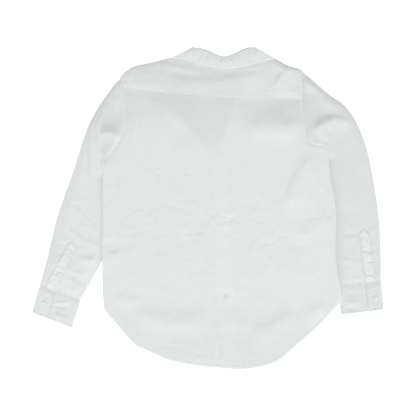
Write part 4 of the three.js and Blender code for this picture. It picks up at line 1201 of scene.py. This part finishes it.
# %% Painted shade of the sleeves
# for painted warm shade and painted shade: how much is added, softness of the edge, corners
SLEEVE_WARM_SHADES = {
    "left": [(0.42, 12, [(-236, 164), (-218, 165), (-209, 154), (-232, 118), (-246, 90), (-246, 128)])],
    "right": [(0.25, 8, [(236, 154), (250, 166), (257, 158), (256, 148), (240, 148)])],
}
CAP = [
    (212, 263), (232, 262), (284, 206), (281, 194), (262, 189),
    (241, 177), (228, 153), (218, 165), (210, 200),
]
SLEEVE_SHADES = {
    "left": [
        (-0.75, 16, [(-246, 171), (-206, 169), (-202, 190), (-240, 196)]),
        (-0.3, 26, [(-246, 175), (-204, 173), (-198, 220), (-232, 232)]),
    ],
    "right": [(-0.55, 16, CAP)],
}
print("shaded patches:", sum(len(table) for table in SLEEVE_SHADES.values()))

# %% [markdown]
# The rings make the tube. Where the body covers it, the tube stays thin, and where it is free the
# folds are added to its upper layer.

# %% Build the sleeves
ARM_LENGTH = 480  # from the armhole to the cuff
AT_ARMHOLE = 3.6  # height of the sleeve where the body's edge covers it
# how far the edge under the body slips in, and the y where that starts and ends, each with its ease
SLIPS = {"left": (7, 95, 14, 12, 28), "right": (10, 138, 8, 22, 34)}


def both_layers(values):
    """The same values on a tube's upper and lower layer."""
    return np.hstack([values, values[:, ::-1][:, 1:-1]])


def upper_only(values):
    """The values on a tube's upper layer, and 0 on the lower."""
    return np.hstack([values, 0 * values[:, 1:-1]])


def lay_sleeve(side, rings=205, across=52):
    """Fans the rings out from the armhole, gives them their heights and builds the sleeve."""
    outward = -1 if side == "left" else 1
    ends = through(SLEEVES[side], rings)
    t = 0.5 - 0.5 * np.cos(np.linspace(0, math.pi, across))
    t = mix(np.linspace(0, 1, across), t, 0.55)
    hole = through(ARMHOLES[side], 400)
    hole = np.column_stack([np.interp(t, np.linspace(0, 1, 400), hole[:, k]) for k in range(2)])
    chord = mix(hole[:1], hole[-1:], t[:, None])
    bow = np.clip(ends[:, 4], 0, 1)[:, None]
    weight = bow * (1 - (t[None, :] ** 2) * (1 - bow))
    x = mix(ends[:, 0:1], ends[:, 2:3], t[None, :]) + weight * (hole - chord)[None, :, 0]
    y = mix(ends[:, 1:2], ends[:, 3:4], t[None, :]) + weight * (hole - chord)[None, :, 1]
    run = np.arange(rings)[:, None] / (rings - 1)
    x = x - outward * 3.2 * (1 - ease(run * 30))  # the armhole's end slips under the body's edge
    y = y - 3 * (1 - ease(run * 30)) * ease((t[None, :] - 0.55) / 0.2)
    deep, start, start_ease, end, end_ease = SLIPS[side]
    under_y = y[:, -1:]
    slip = deep * ease((start - under_y) / start_ease) * ease((under_y - end) / end_ease)
    x = x - outward * slip * t[None, :] ** 3
    from_over, from_under = from_edges(x, y)
    edge_x = np.array(BODY_EDGE[side], float)
    clear = outward * (x - np.interp(y, edge_x[:, 1], edge_x[:, 0]))
    covered = ease((84 - y) / 16) if side == "left" else ease((124 - y) / 16)
    covered = covered * (ease((y + 152) / 20) if side == "left" else 1)
    free = mix(1.0, ease((clear - 1) / 20), covered)
    from_cuff = (1 - run) * ARM_LENGTH
    from_hole = np.hypot(x - x[:1], y - y[:1])
    high = mix(3.0, 4.4, mix(1.0, ease((clear + 4) / 10), covered))
    high = mix(2.9, high, ease((from_cuff - 2) / 20))
    shoulder = ease((y - 150) / 60)
    near_fold = np.minimum(from_over / (1 + 1.6 * shoulder), from_under)
    roll = round_edge(near_fold, 4.5)
    roll = mix(roll, ease(from_over / 11), shoulder * ease(1 - from_over / 30))
    high = high + 1.4 * shoulder * ease(1 - from_over / 60)
    inner = ease(np.minimum(from_over, from_under) / 24)
    relief = folds(x, y, SLEEVE_FOLDS[side]) * mix(1, 0.8, ease(-y / 30))
    busy = ease((0 - y) / 120) if side == "left" else ease((-20 - y) / 120)
    seed = 31 if side == "left" else 37
    relief += (0.3 + 0.7 * busy) * (0.45 * ridged(x, y, 40, seed) + 0.16 * ridged(x, y, 15, seed + 2))
    relief += 1.1 * small_creases(x, y, SLEEVE_ZONES[side], seed) + 0.9 * soft_noise(x, y, 90, seed + 5)
    steps = np.hypot(np.diff(x, axis=1, prepend=x[:, :1]), np.diff(y, axis=1, prepend=y[:, :1]))
    gather = 0.8 * np.sin(np.cumsum(steps, axis=1) / 2.4)
    relief = relief * ease((from_cuff - 2) / 14) + 1.3 * gather * bump(from_cuff, 0, 16)
    held = ease((from_cuff - 4) / 64) * ease(from_hole / 14)
    top = high / 2 * (1 + roll) + free * inner * (2.7 * held + relief * mix(0.7, 1, held))
    top = np.maximum(top, high / 2 * (1 + roll) * 0.92)
    top = mix(AT_ARMHOLE, top, ease(from_hole / 6) * inner + (1 - inner))
    top = np.maximum(top, AT_ARMHOLE * (1 - ease((from_hole - 4) / 14)))
    lower = high / 2 * (1 - roll)
    upper = np.dstack([x, y, top + 0.1])
    under = np.dstack([x, y, np.maximum(lower, 0.02)])[:, ::-1][:, 1:-1]
    grid = np.concatenate([upper, under], axis=1)
    beside, covered = both_layers(clear), both_layers(covered)
    px, py = grid[..., 0], grid[..., 1]
    # Painted shade beside the body's edge, over the whole right sleeve and the left one's top, along
    # the shoulder, in troughs, in the patches and at the cuff seam; painted warm shade beside the
    # body's edge, at the cuff seam and in the underarm.
    shade = -0.6 * bump(beside, 1, 9) * covered
    shade = shade - (0.45 if side == "right" else 0.1 + 0.35 * ease((py - 120) / 60))
    shade += upper_only(-0.6 * shoulder * (1 - ease(from_over / 9)) - 0.25 * np.clip(-relief, 0, 3))
    seam = upper_only(bump(from_cuff, 0, 7) * (0.6 + 0.4 * np.sign(gather)))
    shade += patches(px, py, SLEEVE_SHADES[side]) - 0.9 * seam
    painted_warm_shade = 0.22 * bump(beside, 1, 7) * covered + 0.3 * seam
    painted_warm_shade += patches(px, py, SLEEVE_WARM_SHADES[side])
    return sheet_of_linen(
        f"linen_sleeve_{side}", grid, [f"sleeve_{side}"], (0.41, 0.53, 0.50), rounded=True,
        cut=(330, 500), marks={"painted_warm_shade": painted_warm_shade, "painted_shade_and_show_through": shade}, rests_on=["floor"],
    )


sleeves = {side: lay_sleeve(side) for side in ("left", "right")}

# %% [markdown]
# ## Things laid on cloth
#
# Plackets, buttons and stitches follow the surface that they are sewn to. A ray cast straight down
# finds that surface's height and slope.

# %% Find the height of a piece
def surface_of(*pieces):
    """A function that gives the height and normal of the highest of the pieces at x and y."""
    trees = []
    for piece in pieces:
        corners = [v.co for v in piece.data.vertices]
        trees.append(BVHTree.FromPolygons(corners, [p.vertices for p in piece.data.polygons]))

    def at(px, py):
        best = None
        above = Vector(((px + SHIFT[0]) * MM, (py + SHIFT[1]) * MM, 0.1))
        for tree in trees:
            place, normal, *_ = tree.ray_cast(above, Vector((0, 0, -1)))
            if place is not None and (best is None or place.z > best[0]):
                best = (place.z, normal)
        return (best[0] / MM, best[1]) if best else (None, None)

    return at


on_back = surface_of(back)
print("the seat lies", round(on_back(0, -200)[0], 2), "mm up")

# %% [markdown]
# ## The sleeve plackets and the cuffs
#
# The slit above each cuff is bound by a strip with a pointed top. The cuff is a stiff double band
# that wraps round the flattened sleeve and laps over its own beginning, where its button sits.

# %% The sleeve plackets
# the upper end of each, left, tip and right, and then the lower
TOWERS = {
    "left": [(-321.6, -85.5, -310.7, -80, -301, -95.5), (-375, -183, -364.5, -186.8, -354, -190.5)],
    "right": [(347, -61, 357.2, -50, 370, -64), (362, -172.8, 373.5, -171.4, 385, -169.9)],
}
# share of the length and depth of each crease across
PLACKET_CREASES = {
    "left": [(0.11, 1), (0.2, 0.8), (0.49, 0.9), (0.68, 1), (0.86, 0.6)],
    "right": [(0.12, 0.6), (0.27, 0.5), (0.36, 1), (0.74, 0.4), (0.87, 1)],
}


def lay_tower(side, rows=58, columns=17):
    """A strip with a pointed top, laid on the sleeve."""
    (ax, ay, tx, ty, bx, by), (cx, cy, _, _, dx, dy) = TOWERS[side]
    on = surface_of(sleeves[side])
    s = np.linspace(0, 1, rows)[:, None]
    t = np.linspace(0, 1, columns)[None, :]
    left_x, left_y = mix(ax, cx, s), mix(ay, cy, s)
    right_x, right_y = mix(bx, dx, s), mix(by, dy, s)
    x, y = mix(left_x, right_x, t), mix(left_y, right_y, t)
    peak = (1 - np.abs(2 * t - 1)) * (1 - s) ** 10
    x = x + peak * (tx - (ax + bx) / 2)
    y = y + peak * (ty - (ay + by) / 2)
    z = np.zeros(x.shape)
    for r in range(rows):
        for c in range(columns):
            found, _ = on(x[r, c], y[r, c])
            z[r, c] = found if found is not None else (z[r, c - 1] if c else 5)
    for _ in range(2):
        z[1:-1] = (z[:-2] + 2 * z[1:-1] + z[2:]) / 4
        z[:, 1:-1] = (z[:, :-2] + 2 * z[:, 1:-1] + z[:, 2:]) / 4
    rim = np.minimum(np.minimum(t, 1 - t) * 22, np.minimum(s * 100 + 1, 30))  # distance from its edges
    z += 0.75 + 0.3 * ease(rim / 2.5) - 0.15 * bump(rim, 3.2, 1.2)
    z += 0.22 * ridged(x, y, 11, 12.5)
    wavy = s + 0.02 * np.sin(5 * t)
    across = sum(deep * bump(wavy, at, 0.022) for at, deep in PLACKET_CREASES[side])
    # painted paler over the doubled strip, with painted shade along its rim and in its cross creases,
    # which also get painted warm shade
    tone = (0.5 if side == "left" else 0.2) - 1.8 * (1 - ease(rim / 1.9)) - 1.2 * across * ease(rim / 3)
    z -= 0.5 * across
    return sheet_of_linen(
        f"linen_placket_{side}", np.dstack([x, y, z]), [f"sleeve_placket_{side}"], (0.024, 0.122, 0.97),
        thickness=0.6, finish=linen_doubled, cut=(23, 118), rests_on=[f"linen_sleeve_{side}"],
        marks={"painted_shade_and_show_through": tone, "painted_warm_shade": 0.3 * across},
    )


towers = {side: lay_tower(side) for side in ("left", "right")}

# %% [markdown]
# A cuff is one strip, wrapped. `WRAP` goes round the flattened sleeve: along the top, round the far
# edge, back underneath and up again, to lap over where it began.

# %% The cuffs
CUFFS = {
    "left": dict(a=(-386.8, -179.4), b=(-294.6, -213.0), c=(-404, -241), d=(-313.5, -275.5), lap=38),
    "right": dict(a=(397.4, -168.6), b=(299.8, -181.4), c=(404, -234), d=(307.5, -245.5), lap=35),
}
CUFF_FOLDS = {
    "left": [
        (-1.7, 4, 4, [(-362, -226), (-340, -229), (-318, -229)]),
        (1.5, 4, 5, [(-358, -218), (-336, -219), (-312, -220)]),
        (-1.5, 4, 4, [(-358, -234), (-340, -242), (-322, -250)]),
        (1.2, 5, 6, [(-350, -244), (-336, -254)]),
        (-1.0, 4, 4, [(-378, -208), (-362, -206)]),
    ],
    "right": [
        (-1.4, 5, 5, [(312, -228), (332, -234), (350, -228)]),
        (1.3, 5, 7, [(310, -214), (332, -220), (352, -214)]),
        (-1.2, 4, 4, [(316, -198), (340, -202)]),
        (0.9, 5, 5, [(360, -224), (372, -232)]),
    ],
}
# distance along the cuff, height, and 1 where the distance is counted from the far end
WRAP = [
    (12, 2.6, 0), (40, 2.6, 0), (70, 2.6, 0), (-1.8, 2.2, 1), (0, 1.2, 1), (-1.8, 0.15, 1),
    (50, 0.05, 0), (6, 0.05, 0), (1.2, 0.6, 0), (0, 1.9, 0), (1.2, 3.2, 0), (6, 3.9, 0), (20, 4.0, 0),
]


def lay_cuff(side, rows=34, stations=150):
    """A stiff strip wrapped round the end of a sleeve."""
    m = CUFFS[side]
    a, b, c, d = (np.array(m[k], float) for k in "abcd")
    grid = []
    for s in np.linspace(0, 1, rows):
        start, end = mix(a, c, s), mix(b, d, s)
        width = np.linalg.norm(end - start)
        lap = m["lap"] * (1.03 - 0.42 * ease((s - 0.84) / 0.16) ** 2)
        line = [(w + width * from_end, height) for w, height, from_end in WRAP]
        wrapped = through([*line, (lap * 0.7, 4.0), (lap, 3.8)], stations)
        place = mix(start[None, :], end[None, :], wrapped[:, :1] / width)
        grid.append(np.column_stack([place, wrapped[:, 1]]))
    grid = np.array(grid)
    x, y, z = grid[..., 0], grid[..., 1], grid[..., 2]
    shown = ease((z - 1.8) / 0.8)
    rows_from_edge = np.minimum(np.arange(rows), rows - 1 - np.arange(rows))[:, None] * 2.0
    relief = 1.05 * folds(x, y, CUFF_FOLDS[side]) + 0.22 * ridged(x, y, 22, 14.2)
    droop = 1 - ease(np.linspace(0, 1, rows)[:, None] * 58 / 12)  # over a fifth of its depth
    z = z - droop * (0.5 * shown + 0.9 * ease((z - 2.9) / 0.8))
    top = z + shown * (0.9 + 1.5 * relief * ease(rows_from_edge / 6))
    grid[..., 2] = top - 0.3 * shown * bump(rows_from_edge, 4, 1.4)
    station = np.arange(stations)[None, :] / (stations - 1)
    # painted shade: a dark line along the lap's edge, the whole cuff darker, the right one more, and
    # its creases darker still
    lap_line = -1.3 * ease((station - 0.988) / 0.012)
    tone = lap_line - (0.3 if side == "left" else 0.6) - 0.3 * np.clip(-relief, 0, 3) * shown
    return sheet_of_linen(
        f"linen_cuff_{side}", grid, [f"cuff_{side}"], (0.235, 0.066, 0.98), thickness=1.0,
        finish=linen_doubled, cut=(240, 64), marks={"painted_shade_and_show_through": tone}, rests_on=["floor"],
    )


cuffs = {side: lay_cuff(side) for side in ("left", "right")}

# %% [markdown]
# ## The buttons
#
# The buttons are shell: a turned disc with a raised rim, a shallow dish and four holes. One is
# modelled from a cylinder and copied for each button. Those on the sleeves are laid to the slope
# of the cloth under them, and those of the fronts lie face down.

# %% Shell for the buttons
shell = bpy.data.materials.new("button_shell")
shell.use_nodes = True
tree = shell.node_tree
pearl = tree.nodes["Principled BSDF"]
grain = tree.nodes.new("ShaderNodeTexNoise")
set_inputs(grain, Scale=420, Detail=4, Distortion=1.6)
spot = tree.nodes.new("ShaderNodeTexCoord")
cloudy = blend_colour(tree, grain.outputs["Fac"], (0.66, 0.655, 0.615), (0.76, 0.76, 0.735))
link(tree, (spot.outputs["Object"], grain.inputs["Vector"]), (cloudy, pearl.inputs["Base Color"]))
set_inputs(pearl, Roughness=0.38, Coat_Weight=0.35, Coat_Roughness=0.12)
print("material:", shell.name)

# %% [markdown]
# The disc gets its rim and its dish from two insets, and its holes from four drills.

# %% Model one button
RADIUS, THICK = 5.5, 1.9
HOLE, SPREAD = 0.5, 1.35  # radius of a hole, and how far it lies from the middle


def cylinder(sides, radius, depth, place):
    """A cylinder with its place applied."""
    bpy.ops.mesh.primitive_cylinder_add(vertices=sides, radius=radius, depth=depth, location=place)
    bpy.ops.object.transform_apply(location=True, rotation=True, scale=True)
    return bpy.context.active_object


def bevel(piece, width, segments, degrees):
    """Rounds the edges that are sharper than the angle."""
    limit = {"limit_method": "ANGLE", "angle_limit": math.radians(degrees)}
    apply_modifier(piece, "BEVEL", width=width, segments=segments, **limit)


def model_button():
    """A disc with a rim, a dish and four holes, at the origin, with its back on z = 0."""
    bpy.ops.object.select_all(action="DESELECT")
    button = cylinder(40, RADIUS * MM, THICK * MM, (0, 0, THICK * MM / 2))
    bpy.ops.object.mode_set(mode="EDIT")
    bpy.ops.mesh.select_all(action="DESELECT")
    bpy.ops.object.mode_set(mode="OBJECT")
    for face in button.data.polygons:
        face.select = face.normal.z > 0.9
    bpy.ops.object.mode_set(mode="EDIT")
    bpy.ops.mesh.inset(thickness=1.1 * MM)
    bpy.ops.mesh.inset(thickness=0.9 * MM, depth=-0.4 * MM)
    bpy.ops.object.mode_set(mode="OBJECT")
    bevel(button, 0.35 * MM, 2, 50)
    for k in range(4):
        turn = math.pi / 4 + k * math.pi / 2
        place = (SPREAD * MM * math.cos(turn), SPREAD * MM * math.sin(turn), THICK * MM / 2)
        drill = cylinder(14, HOLE * MM, 4 * THICK * MM, place)
        apply_modifier(button, "BOOLEAN", operation="DIFFERENCE", object=drill, solver="EXACT")
        bpy.data.objects.remove(drill)
    button.data.shade_smooth()
    smooth_below(button, 35)
    return button


master_button = model_button()
print("button:", len(master_button.data.polygons), "faces")

# %% [markdown]
# Thread holds each button: two parallel loops through its four holes. A loop is a short tube, bent
# over by its own points.

# %% Place a button with its thread
def tube(points, radius, sides=6):
    """Vertices and faces of a thin tube along points, closed at both ends."""
    path = np.array(points, float)
    vertices, faces = [], []
    for i, p in enumerate(path):
        way = path[min(i + 1, len(path) - 1)] - path[max(i - 1, 0)]
        way = way / np.linalg.norm(way)
        side = np.cross(way, (0, 0, 1.0) if abs(way[2]) < 0.9 else (1.0, 0, 0))
        side = side / np.linalg.norm(side)
        up = np.cross(side, way)
        for k in range(sides):
            turn = 2 * math.pi * k / sides
            vertices.append(p + radius * (math.cos(turn) * side + math.sin(turn) * up))
    for i in range(len(path) - 1):
        for k in range(sides):
            n = (k + 1) % sides
            faces.append((i * sides + k, i * sides + n, (i + 1) * sides + n, (i + 1) * sides + k))
    faces.append(tuple(range(sides - 1, -1, -1)))
    faces.append(tuple((len(path) - 1) * sides + k for k in range(sides)))
    return np.array(vertices), faces


# x, y and height of one loop of thread over the button
ARCH = [
    (-1.35, 0.945, 0.3), (-0.95, 0.95, 1.5), (-0.5, 0.95, 1.95),
    (0.5, 0.95, 1.95), (0.95, 0.95, 1.5), (1.35, 0.945, 0.3),
]


def place_button(node, at, turn, on=None):
    """Copies the button for a node, sews it, and tilts it with the cloth under it. With no cloth
    named it lies face down, where its solid does."""
    copy = add_object(f"shell_{node}", master_button.data.copy())
    copy.data.materials.clear()
    copy.data.materials.append(shell)
    pieces = [copy]
    for k in (-1, 1):
        vertices, faces = tube([Vector((px, k * py, pz)) * MM for px, py, pz in ARCH], 0.3 * MM)
        strand = bpy.data.meshes.new(f"{node}_thread")
        strand.from_pydata(vertices.tolist(), [], faces)
        strand.shade_smooth()
        strand.materials.append(thread)
        pieces.append(add_object(strand.name, strand))
    select_only(copy)
    for piece in pieces:
        piece.select_set(True)
    bpy.ops.object.join()
    if on is None:
        facing = Vector((0, 0, -1))
        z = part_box(node)[1].z
    else:
        height, normal = on(*at)
        facing = (normal + Vector((0, 0, 2.5))).normalized()
        z = (height - 0.25) * MM
    place = Matrix.Translation(((at[0] + SHIFT[0]) * MM, (at[1] + SHIFT[1]) * MM, z))
    spin = facing.to_track_quat("Z", "Y").to_matrix().to_4x4()
    copy.data.transform(place @ spin @ Matrix.Rotation(turn, 4, "Z"))
    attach(copy, "root")
    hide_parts(node)
    copy.select_set(False)


SLEEVE_BUTTONS = {
    "placket_button_left": ((-340.5, -155.5), "left", 0.4),
    "cuff_button_left": ((-376, -222.5), "left", -0.3),
    "placket_button_right": ((370.8, -132), "right", 0.1),
    "cuff_button_right": ((384.5, -209.5), "right", 0.6),
}
for node, (at, side, turn) in SLEEVE_BUTTONS.items():
    place_button(node, at, turn, surface_of(towers[side], cuffs[side]))
for k in range(1, 6):
    node = f"front_button_{k}"
    low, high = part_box(node)
    middle = ((low + high) / 2) / MM
    place_button(node, (middle.x - SHIFT[0], middle.y - SHIFT[1]), 0.3 * k)
bpy.data.objects.remove(master_button)
print("9 buttons sewn on")

# %% [markdown]
# ## Stitching
#
# The seams are held by rows of stitches about three millimetres long. One stitch is a small
# rounded bar. Its points are copied along every row, each laid on the cloth below it. The rows
# run where a machinist would put them: inside the hem, above the yoke seam, round the armholes,
# along the neck, and round the edges of cuffs and plackets.

# %% One stitch, and rows of it
bpy.ops.mesh.primitive_cylinder_add(vertices=6, radius=0.3 * MM, depth=2.3 * MM)
master_stitch = bpy.context.active_object
bevel(master_stitch, 0.16 * MM, 1, 60)
stitch_points = np.array([v.co[:] for v in master_stitch.data.vertices]) / MM
stitch_points = stitch_points[:, [2, 0, 1]]  # the bar now lies along x
stitch_faces = [tuple(p.vertices) for p in master_stitch.data.polygons]
bpy.data.objects.remove(master_stitch)
rows_sewn = {}


def sew(name, path, on, pitch=3.1):
    """Adds a row of stitches along a path to the named group."""
    path = np.array(path, float)
    run = np.concatenate([[0], np.cumsum(np.linalg.norm(np.diff(path, axis=0), axis=1))])
    count = int(run[-1] / pitch)
    vertices, faces = rows_sewn.setdefault(name, ([], []))
    for k in range(count):
        here = (k + 0.5) * pitch
        p, q = (np.array([np.interp(here + d, run, path[:, i]) for i in range(2)]) for d in (-1.1, 1.1))
        zp, zq = on(*p)[0], on(*q)[0]
        if zp is None or zq is None or abs(zp - zq) > 1.6:
            continue
        a, b = np.array([*p, zp]), np.array([*q, zq])
        way = (b - a) / np.linalg.norm(b - a)
        side = np.cross((0, 0, 1.0), way)
        side = side / np.linalg.norm(side)
        up = np.cross(way, side)
        centre = (a + b) / 2 + up * 0.07
        first = sum(len(v) for v in vertices)
        vertices.append(centre + stitch_points @ np.array([way, side, up]))
        faces.extend(tuple(first + i for i in f) for f in stitch_faces)


def finish_sewing(name):
    """Makes one piece of a named group of stitches."""
    vertices, faces = rows_sewn[name]
    mesh = bpy.data.meshes.new(name)
    mesh.from_pydata(((np.vstack(vertices) + SHIFT) * MM).tolist(), [], faces)
    mesh.shade_smooth()
    declare(add_object(name, mesh), thread, "linen")


def beside(path, by):
    """The path moved sideways, to its left where by is above zero."""
    way = np.gradient(path, axis=0)
    way = way / np.linalg.norm(way, axis=1)[:, None]
    return path + by * np.column_stack([-way[:, 1], way[:, 0]])


print("one stitch:", len(stitch_points), "points")

# %% [markdown]
# The body is sewn along its hem, in two rows along the yoke's hem, in two rows round each armhole
# and along both edges of the collar.

# %% Sew the body
on_yoke = surface_of(yoke)
on_collar = surface_of(collar)
sew("stitches_body", beside(hem_line, HEM)[4:-4], on_back)
yoke_line = np.column_stack([seam_x, seam_y])
sew("stitches_body", beside(yoke_line, 1.8)[2:-2], on_yoke)
sew("stitches_body", beside(yoke_line, 8.6)[2:-2], on_yoke)
for side, by, end in (("left", 8.0, 0), ("right", -8.0, -1)):
    hole = through(ARMHOLES[side], 300)
    low = hole[hole[:, 1] < seam_y[end] - 4]
    high = hole[hole[:, 1] > seam_y[end] + 4]
    for inward in (by, by * 0.22):
        sew("stitches_body", beside(low, inward)[:-6], on_back)
        sew("stitches_body", beside(high, inward)[6:], on_yoke)
neck = top[(top[:, 0] > NECK_LEFT + 6) & (top[:, 0] < NECK_RIGHT - 6)]
sew("stitches_body", beside(neck, 2.6), on_collar, pitch=2.9)
free_line = np.array([mix(p[:2], p[2:4], 0.9) for p in through(COLLAR, 200) if p[4] > 4.0])
sew("stitches_body", free_line, on_collar, pitch=2.9)
finish_sewing("stitches_body")

# %% [markdown]
# Each placket is sewn round its outline, and each cuff along both long edges and its lap.

# %% Sew the sleeves
for side in ("left", "right"):
    name = f"stitches_{side}_sleeve"
    on_tower = surface_of(towers[side])
    on_cuff = surface_of(cuffs[side])
    (ax, ay, tx, ty, bx, by), (cx, cy, _, _, dx, dy) = TOWERS[side]
    inset = np.array([(cx, cy), (ax, ay), (tx, ty), (bx, by), (dx, dy)], float)
    across = np.array([bx - ax, by - ay]) / np.hypot(bx - ax, by - ay)
    along = np.array([cx - ax, cy - ay]) / np.hypot(cx - ax, cy - ay)
    inset[0] += 3 * across - 3 * along
    inset[1] += 3 * across + 1 * along
    inset[2] += 4 * along
    inset[3] += -3 * across + 1 * along
    inset[4] += -3 * across - 3 * along
    dense = np.vstack([np.linspace(p, q, 30) for p, q in zip(inset[:-1], inset[1:])])
    sew(name, dense, on_tower, pitch=2.9)
    m = CUFFS[side]
    a, b, c, d = (np.array(m[k], float) for k in "abcd")
    for s in (0.07, 0.93):
        start, end = mix(a, c, s), mix(b, d, s)
        sew(name, np.linspace(mix(start, end, 0.05), mix(start, end, 0.95), 60), on_cuff, pitch=2.9)
    width = np.linalg.norm(b - a)
    near_lap = (m["lap"] - 4) / width
    lap_line = [mix(mix(a, c, s), mix(b, d, s), near_lap) for s in np.linspace(0.07, 0.84, 20)]
    sew(name, lap_line, on_cuff, pitch=2.9)
    finish_sewing(name)
